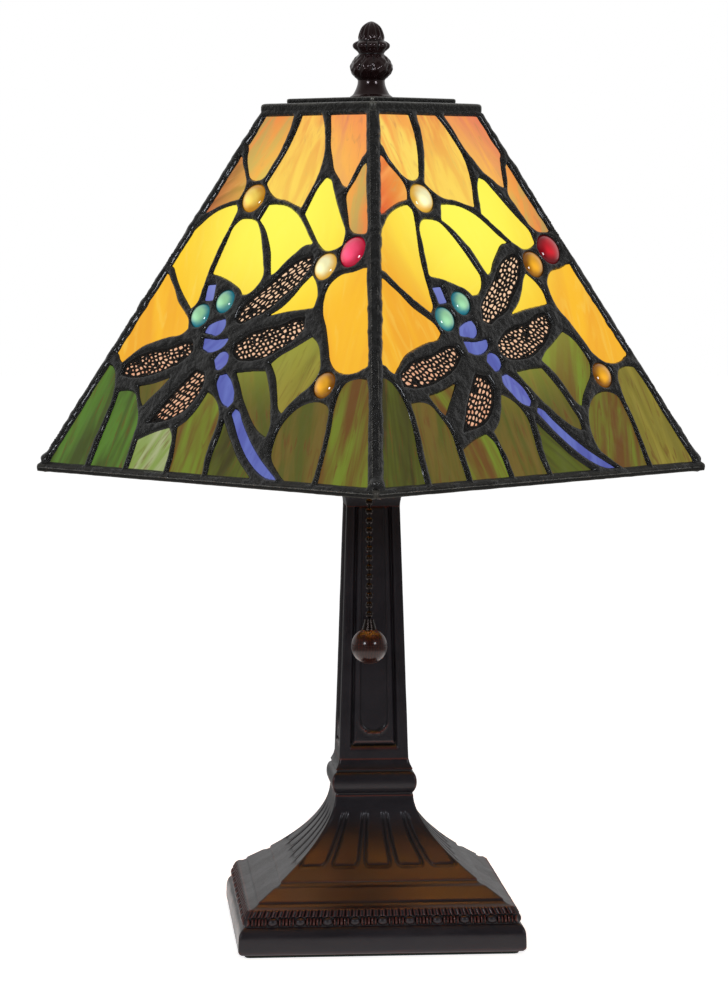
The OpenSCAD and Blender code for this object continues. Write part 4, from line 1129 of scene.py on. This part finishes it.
def glass_mesh(name, loops, cuts, front):
    """All panes of one glass on all four faces, with their colours and their turned UV maps."""
    parts = []
    sheets = []
    uvs = []
    random = np.random.default_rng(len(name))
    fills = [fill_outline(loop) for loop in loops]
    for side in range(4):
        for place, sheet in enumerate(cuts[FACE_STYLE[side]].split()):
            flat, triangles = fills[place]
            points, caps, walls = pane_shell(flat, triangles, front, GLASS_BACK, 10 * side + place)
            turn = random.normal(0, TURN_SPREAD)
            shift = random.uniform(-SHIFT_SPREAD, SHIFT_SPREAD, 2)
            spin = np.array([[math.cos(turn), -math.sin(turn)], [math.sin(turn), math.cos(turn)]])
            parts.append((lamp_place(points, side), (caps, walls)))
            sheets.append(sheet)
            uvs.append((points[:, :2] @ spin.T + shift) / UV_MM)
    return coloured_mesh(name, parts, sheets, uvs)

# %% [markdown]
# ## How the glass looks
#
# Opalescent glass lit from behind looks as if it shines by itself, and it hides the bulb, so its colour
# is given off rather than seen through. It is the sheet's two colours mixed by streaks, washed towards
# a hot colour near the bulb and dimmed far from it. A smooth coat gives the front its gloss.

# %% Glass finish
WIDE_GLOW = (0.07, 0.19)
SHEET_BASE = 0.12


def opal_glass(name, hot, near, far, wisp, scale, stretch=0.22, hot_share=1.0, *, dim, power=0.92):
    """Emission = tint and streak mixed by noise, plus wisps, then towards hot by glow, times a dimming."""
    material, tree, shader = new_material(name, Roughness=0.25, Coat_Weight=0.15, Coat_Roughness=0.05,
                                          Specular_IOR_Level=0.3)
    tint = stored(tree, "tint")["Color"]
    streak_colour = stored(tree, "streak")["Color"]
    place = add(tree, "ShaderNodeUVMap", {"uv_map": "cut"}).outputs[0]
    pattern = use_group(tree, streaks, Vector=place, Scale=scale, Stretch=stretch)
    glow = use_group(tree, bulb_glow, Near=near, Far=far)["Glow"]
    sheet = blend_colours(tree, pattern["Streak"], tint, streak_colour)
    sheet = blend_colours(tree, calculate(tree, "MULTIPLY", pattern["Wisp"], wisp[1]), sheet, wisp[0])
    lit = blend_colours(tree, calculate(tree, "MULTIPLY", glow, hot_share), sheet, hot)
    wide = use_group(tree, bulb_glow, Near=WIDE_GLOW[0], Far=WIDE_GLOW[1])["Glow"]
    bright = calculate(tree, "MULTIPLY_ADD", wide, 1.0 - dim, dim)
    level = vector(tree, "SCALE", lit, Scale=bright)
    feed(tree, shader, Emission_Color=level)
    shader.inputs["Emission Strength"].default_value = power
    feed(tree, shader, Base_Color=vector(tree, "SCALE", sheet, Scale=SHEET_BASE))
    bump(tree, shader, noise(tree, object_place(tree), 90.0), 0.0006)
    return material


finishes.update({
    "glass_orange": opal_glass("opal_orange", paint(255, 228, 92), 0.050, 0.082, (paint(196, 122, 84), 0.6),
                               12.0, 0.25, 0.8, dim=0.88, power=0.96),
    "glass_yellow": opal_glass("opal_yellow", paint(255, 252, 90), 0.052, 0.093, (paint(250, 206, 84), 0.4),
                               5.0, dim=0.9, power=0.98),
    "glass_green": opal_glass("opal_green", paint(150, 160, 60), 0.070, 0.120, (paint(104, 62, 28), 0.6),
                              11.0, 0.13, dim=0.9, power=1.0),
    "glass_blue": opal_glass("opal_blue", paint(140, 150, 215), 0.055, 0.095, (paint(70, 70, 150), 0.5),
                             10.0, dim=0.9, power=1.0),
    "glass_wing": opal_glass("opal_blush", paint(255, 214, 176), 0.060, 0.130, (paint(255, 226, 200), 0.7),
                             40.0, 0.8, dim=0.8),
})
for name, cuts in CUTS.items():
    slot = "glass_wing" if name == "wing_glass" else name
    front = WING_FRONT if name == "wing_glass" else GLASS_FRONT
    add_piece(glass_mesh(f"{name}_panes", outlines[name], cuts, front), "shade", slot, name)

# %% [markdown]
# ## The dragonflies' wings
#
# Each wing is a thin pierced sheet laid over blush-coloured glass. Its holes are the cells of a Voronoi
# pattern: every point belongs to the nearest of many scattered seeds, and the wire is left where the
# two nearest seeds are almost equally far. The outer wings have long slanting cells and the inner ones
# rounder cells, so the seeds are spaced further apart along the wing.

# %% Pierced wings
LACE_STEP = 0.34
LACE_RISE = 0.55
LACE_WIRE = 0.95
LACE_RIM = 0.9
LACE_CLOSE = 0.42
WING_CELLS = ((3.3, 1.75), (2.5, 2.1), (2.5, 2.1), (3.3, 1.75))
HIGHEST_GAP = 50.0
SEED_JITTER = 0.36
WIRE_ROUND = 0.35
LACE_FALL = 1.4


def cell_walls(points, spacing, seed):
    """How far inside a cell each point is: half of second-nearest less nearest seed distance, in mm."""
    size = np.array(spacing)
    scaled = points / size
    home = np.floor(scaled).astype(np.int64)
    nearest = np.full(len(points), HIGHEST_GAP)
    second = nearest.copy()
    for step in np.ndindex(5, 5):
        cell = home + np.array(step) - 2
        jitter = np.stack([corner_height(cell, seed), corner_height(cell, seed + 5)], 1) * SEED_JITTER
        reach = np.linalg.norm((cell + 0.5 + jitter - scaled) * size.mean(), axis=1)
        second = np.minimum(second, np.maximum(nearest, reach))
        nearest = np.minimum(nearest, reach)
    return (second - nearest) / 2


def wing_lace(loop, spacing, seed):
    """One wing's lace lying flat: points in u, v, n and faces. The pattern lies along the wing's length."""
    centre = loop.mean(0)
    long_way = np.linalg.svd(loop - centre, full_matrices=False)[2][0]
    axes = np.array([long_way, [-long_way[1], long_way[0]]])
    grid, rows, columns = flat_grid(loop.min(0) - 1, loop.max(0) + 1, LACE_STEP)
    edge = outline_distance(grid, [loop])
    local = (grid - centre) @ axes.T
    local[:, 0] += 0.5 * local[:, 1]
    hole = np.minimum(cell_walls(local, spacing, seed) - LACE_WIRE / 2, -edge - LACE_RIM)
    wire = LACE_RISE * np.sqrt(np.clip(-hole / WIRE_ROUND, 0, 1)) + 0.05 * lumps(grid, 1.5, seed)
    level = np.where(hole < 0, wire, -hole * LACE_FALL)
    outside = edge > LEAD_COVER
    closed = (hole > LACE_CLOSE) | outside
    bottom = WING_FRONT - LACE_CLOSE * LACE_FALL
    front = np.column_stack([grid, np.where(closed, bottom, WING_FRONT + level)])
    back = np.column_stack([grid, np.full(len(grid), bottom)])
    return two_sided(front, back, closed, grid_faces(rows, columns))


def lace_mesh(side):
    """The four wings' lace of one face, joined."""
    parts = []
    for number, loop in enumerate(outlines["wing_glass"]):
        points, faces = wing_lace(loop, WING_CELLS[number], 20 + number + 4 * side)
        parts.append((lamp_place(points, side), (faces,)))
    mesh = build_mesh(f"wing_lace_{side + 1}", *join(parts))
    mark_ridges(mesh)
    return mesh


for side in range(4):
    add_piece(lace_mesh(side), "shade", "filigree", "wing_filigree")

# %% [markdown]
# ## Jewels
#
# The jewels are cabochons: round glass drops with a domed front, set in the solder like small panes.
# Each is a grid of rings whose height falls from the middle to the edge. The UV map runs from -1 to 1
# across the jewel, so the finish can be brighter in the middle and darker round the rim. Some jewels
# are painted near-white: a painted highlight of the bulb seen shining through them.

# %% Jewels
DOME_RISE = 2.4
DOME_RINGS = 12
HOT_SPOT = (-0.25, -0.4, 0.0)
JEWEL_BASE = 0.3
JEWEL_CUTS = {
    # the near-white jewels are painted where the bulb would be seen shining through
    "jewels_amber": ("pale jewel|ochre jewel|ochre jewel", "honey jewel|pale jewel|ochre jewel"),
    "jewels_ruby": ("ruby jewel", "pink jewel"),
    "jewels_teal": ("teal jewel|teal jewel", "teal jewel|teal jewel"),
}


def cabochon(spot):
    """A jewel's points in u, v, n and its UV: height = rise (1 - share^2)^0.6 over a straight edge."""
    share = np.concatenate([np.linspace(0, 1, DOME_RINGS) ** 0.7, [1.0, 0.0]])
    rise = GLASS_FRONT + DOME_RISE * (1 - np.minimum(share, 1) ** 2) ** 0.6
    rise[-2:] = GLASS_BACK - 0.2
    angle = np.linspace(0, 2 * math.pi, JEWEL_STEPS, endpoint=False)
    across = share[:, None] * np.cos(angle)
    up = share[:, None] * np.sin(angle)
    points = np.stack([spot[0] + spot[2] * across, spot[1] + spot[2] * up,
                       np.broadcast_to(rise[:, None], across.shape)], -1)
    return points.reshape(-1, 3), np.stack([across, up], -1).reshape(-1, 2)


def jewel_mesh(name, spots, cuts):
    """All jewels of one colour on all four faces; the two pole rows are merged afterwards."""
    parts = []
    sheets = []
    uvs = []
    faces = grid_faces(DOME_RINGS + 2, JEWEL_STEPS, wrap_columns=True)
    for side in range(4):
        for place, sheet in enumerate(cuts[FACE_STYLE[side]].split("|")):
            points, uv = cabochon(spots[place])
            parts.append((lamp_place(points, side), (faces,)))
            sheets.append(sheet)
            uvs.append(uv)
    mesh = coloured_mesh(name, parts, sheets, uvs)
    close_poles(mesh)
    return mesh


def jewel_glass(name, power):
    """Emission = middle colour to edge colour by the distance from the middle, with a hot spot low down."""
    material, tree, shader = new_material(name, Roughness=0.05, Coat_Weight=1.0, Coat_Roughness=0.02)
    tint = stored(tree, "tint")["Color"]
    edge = stored(tree, "streak")["Color"]
    place = add(tree, "ShaderNodeUVMap", {"uv_map": "cut"}).outputs[0]
    spread = vector(tree, "LENGTH", place)
    swirl = noise(tree, object_place(tree), 160.0)
    uneven = calculate(tree, "MULTIPLY_ADD", swirl, 0.5, calculate(tree, "SUBTRACT", spread, 0.25))
    body = blend_colours(tree, remap(tree, uneven, 0.35, 1.0), tint, edge)
    spot = vector(tree, "DISTANCE", place, in1=HOT_SPOT)
    bright = remap(tree, spot, 0.75, 0.1, 0.9, 1.35)
    feed(tree, shader, Emission_Color=vector(tree, "SCALE", body, Scale=bright))
    shader.inputs["Emission Strength"].default_value = power
    feed(tree, shader, Base_Color=vector(tree, "SCALE", body, Scale=JEWEL_BASE))
    return material


jewel_finish = jewel_glass("jewel_glass", 0.9)
for name, cuts in JEWEL_CUTS.items():
    slot = name.replace("jewels", "jewel")
    finishes[slot] = jewel_finish
    add_piece(jewel_mesh(f"{name}_cabochons", jewel_spots[name], cuts), "shade", slot, name)

# %% [markdown]
# ## Hips
#
# The four panels are joined along the hips with a thick run of solder, built up in drops. A plain tube
# would look like wire, so its radius follows two sizes of lumps, with a ball where it meets the rim.

# %% Hip beads
HIP_RADIUS = 3.0
HIP_AROUND = 26
HIP_STEP = 0.55


def hip_bead(side):
    """A tube's points and faces along a hip: radius = the bead's, rounded at the ends, times 1 + lumps."""
    height = np.arange(2.0, SLANT - 1.0, HIP_STEP)
    flat = np.column_stack([hip_half(height) - 0.9, height, np.full(len(height), -1.4)])
    centre = lamp_place(flat, side)
    along = centre[-1] - centre[0]
    along = along / np.linalg.norm(along)
    out = np.array([centre[0][0], centre[0][1], 0])
    out = out - along * (out @ along)
    out = out / np.linalg.norm(out)
    aside = np.cross(along, out)
    ball = 0.9 * np.exp(-((height - 5.0) / 3.2) ** 2)
    ends = np.sqrt(np.clip(np.minimum(height - height[0], height[-1] - height) / 3.0, 0, 1))
    radius = (HIP_RADIUS + ball) * ends
    angle = np.linspace(0, 2 * math.pi, HIP_AROUND, endpoint=False)
    ring = np.cos(angle)[:, None] * out + np.sin(angle)[:, None] * aside
    points = (centre[:, None] + radius[:, None, None] * ring).reshape(-1, 3)
    rough = 1 + 0.10 * lumps(points, 5.5, side) + 0.09 * lumps(points, 2.4, side + 4)
    middle = np.repeat(centre, HIP_AROUND, 0)
    faces = grid_faces(len(height), HIP_AROUND, wrap_columns=True)
    return middle + (points - middle) * rough[:, None], (faces,)


hip_mesh = build_mesh("hip_beads", *join([hip_bead(side) for side in range(4)]))
close_poles(hip_mesh)
mark_ridges(hip_mesh)
add_piece(hip_mesh, "shade", "solder", "hip_seams")

# %% [markdown]
# ## The rim
#
# The rim is a folded lead channel round the bottom of the shade. It is a ring with an open middle, so
# its outline is a closed loop carried round the square, and no row of it shrinks to a pole.

# %% Rim channel
rim_low, rim_high = size_of("shade_rim")
RIM_OUTER = RIM_HALF + 0.8
RIM_INNER = RIM_HALF - 7.8
rim_outline = through([[RIM_INNER, rim_low[2] + 0.4], [RIM_INNER + 0.4, rim_low[2]],
                       [RIM_OUTER - 0.8, rim_low[2]], [RIM_OUTER, rim_low[2] + 0.8],
                       [RIM_OUTER, rim_high[2] - 1.0], [RIM_OUTER - 0.9, rim_high[2]],
                       [RIM_OUTER - 2.2, rim_high[2] + 0.6], [RIM_INNER + 0.4, rim_high[2] + 0.4],
                       [RIM_INNER, rim_high[2] - 0.3]], 0.7)
rim_points = square_moulding(rim_outline[:, 0], rim_outline[:, 1], 240, None, 1.6, SHADE_TURN)
rim_rows, rim_around = rim_points.shape[:2]
rim_points = rim_points.reshape(-1, 3)
rim_points = rim_points + 0.12 * lumps(rim_points, 4.0, 9)[:, None]
rim_mesh = build_mesh("rim_channel", rim_points, [grid_faces(rim_rows, rim_around, True, True)])
close_poles(rim_mesh)
mark_ridges(rim_mesh)
add_piece(rim_mesh, "shade", "rim_lead", "shade_rim")

# %% [markdown]
# ## Cap and plate
#
# The cap is a shallow pressed tray over the top of the four panels, and a small plate lies on it. The
# CAD boxes are measured along the lamp's axes and the shade is turned, so each half-width is worked
# back from its box.

# %% Cap and plate
cap_low, cap_high = size_of("shade_cap")
plate_low, plate_high = size_of("cap_plate")
SQUARE_REACH = abs(math.cos(SHADE_TURN)) + abs(math.sin(SHADE_TURN))
CAP_HALF = cap_high[0] / SQUARE_REACH
PLATE_HALF = plate_high[0] / SQUARE_REACH
cap_outline = np.concatenate([
    [[CAP_HALF - 2.4, cap_high[2] - 1.6], [CAP_HALF - 2.2, cap_low[2]]],
    through([[CAP_HALF - 0.5, cap_low[2]], [CAP_HALF, cap_low[2] + 0.6], [CAP_HALF + 0.1, cap_high[2] - 1.6],
             [CAP_HALF - 0.3, cap_high[2] - 0.5], [CAP_HALF - 1.3, cap_high[2] - 0.1],
             [CAP_HALF - 4.0, cap_high[2]]], 0.5)])
add_moulding("cap_tray", cap_outline, 110, "shade_cap", None, 2.2, SHADE_TURN, 0.14, "shade", "cap_metal")
plate_outline = through([[PLATE_HALF - 0.3, plate_low[2] - 0.05], [PLATE_HALF, plate_low[2] + 0.4],
                         [PLATE_HALF, plate_high[2] - 0.5], [PLATE_HALF - 0.5, plate_high[2] - 0.05],
                         [PLATE_HALF - 2.0, plate_high[2]]], 0.4)
add_moulding("crown_plate", plate_outline, 70, "cap_plate", None, 1.2, SHADE_TURN, 0.06, "shade", "cap_metal")

# %% [markdown]
# ## Finial
#
# The finial is a cast knob: a flared foot, a ball wrapped in leaves, a ring of small leaf tips and a
# ribbed bud. It is a turned profile whose radius also changes with the angle: leaves and ribs are waves
# round it, switched on over the part of the height that they cover.

# %% Finial
finial_low, finial_high = size_of("finial")
FINIAL_RADIUS = finial_high[0]
FINIAL_RISE = finial_high[2] - finial_low[2]
FINIAL_PROFILE = ((0.0, 0.0), (0.96, 0.0), (1.0, 0.012), (0.98, 0.030), (0.86, 0.055), (0.74, 0.115),
                  (0.66, 0.175), (0.635, 0.225), (0.66, 0.250), (0.80, 0.285), (0.95, 0.345), (0.985, 0.395),
                  (0.93, 0.455), (0.78, 0.520), (0.63, 0.565), (0.60, 0.585), (0.68, 0.620), (0.79, 0.665),
                  (0.80, 0.700), (0.70, 0.735), (0.61, 0.750), (0.60, 0.780), (0.555, 0.840), (0.45, 0.910),
                  (0.30, 0.960), (0.14, 0.990), (0.0, 1.0))
FINIAL_AROUND = 200


def finial_relief(share, angle):
    """Millimetres added to the radius: eight veined leaves on the ball, eight tips above, ribs on the bud."""
    leaf_angle = 8 * angle + 1.1 * np.sin(9 * share) + 0.5 * np.sin(3 * angle)
    ball = smooth_step(0.27, 0.33, share) * smooth_step(0.58, 0.53, share)
    leaf = np.abs(np.sin(leaf_angle / 2)) ** 0.6 - 0.6
    vein = 0.6 * np.cos(2 * leaf_angle) * np.cos(55 * share + 2 * np.sin(leaf_angle / 2))
    tips = smooth_step(0.60, 0.66, share) * smooth_step(0.76, 0.71, share)
    tip = np.abs(np.cos(4 * angle)) ** 0.7 - 0.55
    bud = smooth_step(0.75, 0.80, share) * smooth_step(1.0, 0.93, share)
    rib = np.cos(14 * angle)
    return 0.75 * ball * (leaf + 0.45 * vein) + 1.5 * tips * tip + 0.28 * bud * rib


profile = through(np.array(FINIAL_PROFILE) * [FINIAL_RADIUS, FINIAL_RISE], 0.22)
profile[:, 0] = profile[:, 0].clip(0)
finial_angle = np.linspace(0, 2 * math.pi, FINIAL_AROUND, endpoint=False)[None, :]
finial_share = (profile[:, 1] / FINIAL_RISE)[:, None]
finial_radius = profile[:, :1] + finial_relief(finial_share, finial_angle) * np.minimum(profile[:, :1] / 2, 1)
finial_points = rings(finial_radius, finial_low[2] + profile[:, 1:], FINIAL_AROUND)
finial_mesh = build_mesh("finial_casting", finial_points.reshape(-1, 3),
                         [grid_faces(len(profile), FINIAL_AROUND, wrap_columns=True)])
close_poles(finial_mesh)
mark_ridges(finial_mesh)
add_piece(finial_mesh, "finial_knob", "finial_bronze", "finial")

# %% [markdown]
# ## Pull ball
#
# The pull ends in a turned wooden ball with a flat where the ferrule sits and a faint ring left by the
# lathe. It is a half circle turned round, with a narrow dip in the radius for the ring.

# %% Pull ball
ball_low, ball_high = size_of("pull_ball")
ball_middle = (ball_low + ball_high) / 2
BALL_RADIUS = (ball_high[0] - ball_low[0]) / 2
BALL_AROUND = 96
BALL_ROWS = 90
swing = np.linspace(-math.pi / 2, math.pi / 2, BALL_ROWS)
ball_ring = BALL_RADIUS * np.cos(swing) - 0.10 * np.exp(-((swing - 0.05) / 0.02) ** 2)
ball_rise = np.minimum(BALL_RADIUS * np.sin(swing), ball_high[2] - ball_middle[2])
ball_rise = np.maximum(ball_rise, -BALL_RADIUS * 0.985)
ball_points = rings(ball_ring.clip(0)[:, None], (ball_middle[2] + ball_rise)[:, None], BALL_AROUND,
                    ball_middle)
ball_mesh = build_mesh("turned_ball", ball_points.reshape(-1, 3),
                       [grid_faces(BALL_ROWS, BALL_AROUND, wrap_columns=True)])
close_poles(ball_mesh)


def ball_wood():
    """Dark red-brown wood: rings of grain across the ball under a glossy varnish."""
    material, tree, shader = new_material("ball_wood", Roughness=0.3, Coat_Weight=0.7, Coat_Roughness=0.04,
                                          Specular_IOR_Level=0.2)
    grain = add(tree, "ShaderNodeTexWave", {"bands_direction": "X"}, Vector=object_place(tree), Scale=260.0,
                Distortion=6.0, Detail=3.0).outputs["Fac"]
    colour = blend_colours(tree, grain, paint(40, 17, 12), paint(58, 25, 16))
    feed(tree, shader, Base_Color=colour)
    bump(tree, shader, grain, 0.000004)
    return material


finishes["ball_wood"] = ball_wood()
add_piece(ball_mesh, "hanging_chain", "ball_wood", "pull_ball")

# %% [markdown]
# ## Felt
#
# The felt is one flat square under the foot. It lies flat and nothing pads it, so it needs no
# simulation: a square outline with soft edges is its whole shape, and the fibres are in the finish.

# %% Felt
felt_low, felt_high = size_of("felt_pad")


def felt_finish():
    """Matt dark felt: fine fibres from stretched noise, with a low sheen."""
    material, tree, shader = new_material("felt", Roughness=0.95, Sheen_Weight=0.4, Specular_IOR_Level=0.1)
    fibres = noise(tree, object_place(tree), 1400.0, 4.0, 2.0)
    feed(tree, shader, Base_Color=blend_colours(tree, fibres, paint(14, 22, 18), paint(36, 50, 42)))
    bump(tree, shader, fibres, 0.0003)
    return material


finishes["felt"] = felt_finish()
felt_outline = [[felt_high[0] - 0.4, felt_low[2]], [felt_high[0], felt_low[2] + 0.4],
                [felt_high[0], felt_high[2] - 0.4], [felt_high[0] - 0.3, felt_high[2]]]
add_moulding("felt_sheet", through(felt_outline, 0.3), 160, "felt_pad", corner=2.0, slot="felt")

# %% [markdown]
# ## Bulb and hidden fittings
#
# The socket, harp, chain and bulb already have the right shape in the CAD model, so they only need
# finishes. The bulb is frosted and lit: it gives off a warm white that is whitest where the filament is
# nearest. CAD nodes that the new pieces stand for get the same finish as those pieces.

# %% Bulb finishes
def lit_bulb():
    """Frosted glass that shines: warm at the edge of the glow and nearly white in the middle."""
    material, tree, shader = new_material("bulb_glass", Roughness=0.35, Coat_Weight=0.6)
    glow = use_group(tree, bulb_glow, Near=0.022, Far=0.040)["Glow"]
    colour = blend_colours(tree, glow, paint(255, 190, 110), paint(255, 236, 196))
    feed(tree, shader, Emission_Color=colour)
    shader.inputs["Emission Strength"].default_value = 2.2
    frost = noise(tree, object_place(tree), 900.0)
    feed(tree, shader, Base_Color=blend_colours(tree, frost, paint(235, 230, 220), paint(250, 246, 236)))
    bump(tree, shader, frost, 0.00004)
    return material


def clear_stem():
    """The bulb's inner glass stem, faintly cloudy where it was pinched."""
    material, tree, shader = new_material("clear_glass", Roughness=0.05, Transmission_Weight=0.9, IOR=1.5)
    cloud = noise(tree, object_place(tree), 300.0)
    feed(tree, shader, Base_Color=blend_colours(tree, cloud, paint(225, 228, 226), paint(250, 250, 248)))
    return material


def hot_filament():
    """The filament: white-hot in the middle and yellower towards its posts."""
    material, tree, shader = new_material("filament", Roughness=0.5)
    glow = use_group(tree, bulb_glow, Near=0.004, Far=0.016)["Glow"]
    feed(tree, shader, Emission_Color=blend_colours(tree, glow, paint(255, 150, 60), paint(255, 240, 200)))
    shader.inputs["Emission Strength"].default_value = 6.0
    return material


finishes["bulb_glass"] = lit_bulb()
finishes["clear_glass"] = clear_stem()
finishes["filament"] = hot_filament()
for name, cad_node in nodes.items():
    for slot in cad_node.material_slots:
        slot.material = finishes[slot.material.name.split(".")[0]]
for name in ("bulb_glass", "bulb_stem", "bulb_filament"):
    nodes[name].visible_shadow = False
print("finished", len(nodes), "CAD nodes")

# %% [markdown]
# ## Light
#
# The lamp stands before a white backdrop, with soft light from both sides and above. The surroundings
# are bright behind and beside the lamp and dim towards the camera, so dark metal keeps its depth and
# picks up pale edges. The bulb is a real light as large as its glass: it throws the warm pool on the
# foot's flare. The backdrop is plain white to the camera only: for every other ray it has the
# brightness just described. Colours are shown plainly, with no film curve, so white stays white.

# %% Surroundings
FRONT_LEVEL = 0.035


def make_surroundings():
    """Brightness by direction: a dim front, and steps up behind, to the sides and overhead."""
    world = bpy.data.worlds.new("studio")
    bpy.context.scene.world = world
    world.use_nodes = True
    tree = world.node_tree
    tree.nodes.clear()
    facing = add(tree, "ShaderNodeSeparateXYZ", Vector=add(tree, "ShaderNodeTexCoord").outputs["Generated"])
    behind = remap(tree, facing.outputs["Y"], -0.05, 0.7, 0.0, 0.42)
    sides = remap(tree, calculate(tree, "ABSOLUTE", facing.outputs["X"]), 0.55, 0.98, 0.0, 0.16)
    above = remap(tree, facing.outputs["Z"], 0.45, 1.0, 0.0, 0.2)
    level = calculate(tree, "ADD", behind, sides)
    total = calculate(tree, "ADD", level, calculate(tree, "ADD", above, FRONT_LEVEL))
    seen = add(tree, "ShaderNodeLightPath").outputs["Is Camera Ray"]
    strength = calculate(tree, "MINIMUM", calculate(tree, "MAXIMUM", total, seen), 1.0)
    background = add(tree, "ShaderNodeBackground", Color=(1, 1, 1, 1), Strength=strength)
    finish = tree.nodes.new("ShaderNodeOutputWorld")
    tree.links.new(background.outputs[0], finish.inputs["Surface"])


make_surroundings()
bpy.context.scene.view_settings.view_transform = "Standard"


def add_light(name, kind, place, energy, colour, size, aim=None):
    """A soft light at a place; a panel also faces its aim."""
    light = bpy.data.lights.new(name, kind)
    light.energy = energy
    light.color = colour
    if kind == "AREA":
        light.size = size
    else:
        light.shadow_soft_size = size
    lamp = bpy.data.objects.new(name, light)
    bpy.context.scene.collection.objects.link(lamp)
    lamp.location = place
    if aim is not None:
        lamp.rotation_euler = (Vector(aim) - Vector(place)).to_track_quat("-Z", "Y").to_euler()
    print(name, energy, "W")


LAMP_MIDDLE = (0.0, 0.0, 0.22)
BULB_RADIUS = 0.0235
BULB_COLOUR = (1.0, 0.30, 0.05)
PANEL_COLOUR = (0.88, 0.92, 1.0)
PANEL_SIZE = 0.3
add_light("bulb_light", "POINT", BULB_MIDDLE, 2.5, BULB_COLOUR, BULB_RADIUS)
add_light("left_panel", "AREA", (-0.9, -1.3, 0.75), 4.5, PANEL_COLOUR, PANEL_SIZE, LAMP_MIDDLE)
add_light("right_panel", "AREA", (0.9, -1.3, 0.75), 3.5, PANEL_COLOUR, PANEL_SIZE, LAMP_MIDDLE)

# %% [markdown]
# ## Floor
#
# The floor is white to the camera. A floor as bright as that would also light the dark casting from
# below and make it pale, so for every other ray it is greyer, and it shines strongly only near the
# lamp. Its underside is clear, so that the felt can be looked at from below.

# %% Floor
FLOOR_LEVEL = -0.05
FLOOR_RADIUS = 5000
FLOOR_SIDES = 96
FLOOR_SHINE = 0.8
FAR_SHINE = 0.08


def make_floor():
    """White to the camera, so it meets the backdrop without an edge. As a light it is strong near the lamp
    and weak far off, and its underside is clear."""
    material, tree, shader = new_material("floor_white", Roughness=0.9, Specular_IOR_Level=0.0)
    seen = add(tree, "ShaderNodeLightPath").outputs["Is Camera Ray"]
    feed(tree, shader, Base_Color=blend_colours(tree, seen, (0.3, 0.3, 0.3, 1.0), (0.86, 0.86, 0.86, 1.0)))
    shader.inputs["Emission Color"].default_value = (1, 1, 1, 1)
    near = remap(tree, vector(tree, "LENGTH", object_place(tree)), 0.42, 0.20, FAR_SHINE, FLOOR_SHINE)
    shine = calculate(tree, "MAXIMUM", near, calculate(tree, "MULTIPLY", seen, FLOOR_SHINE))
    feed(tree, shader, Emission_Strength=shine)
    clear = add(tree, "ShaderNodeBsdfTransparent")
    one_sided = tree.nodes.new("ShaderNodeMixShader")
    tree.links.new(add(tree, "ShaderNodeNewGeometry").outputs["Backfacing"], one_sided.inputs[0])
    tree.links.new(shader.outputs[0], one_sided.inputs[1])
    tree.links.new(clear.outputs[0], one_sided.inputs[2])
    finish = next(node for node in tree.nodes if node.type == "OUTPUT_MATERIAL")
    tree.links.new(one_sided.outputs[0], finish.inputs["Surface"])
    edge = rings(FLOOR_RADIUS, FLOOR_LEVEL, FLOOR_SIDES)
    mesh = build_mesh("floor", edge, [np.arange(FLOOR_SIDES)[None, :]])
    mesh.materials.append(material)
    floor = bpy.data.objects.new("floor", mesh)
    bpy.context.scene.collection.objects.link(floor)
    print("floor", FLOOR_LEVEL, "mm")


make_floor()
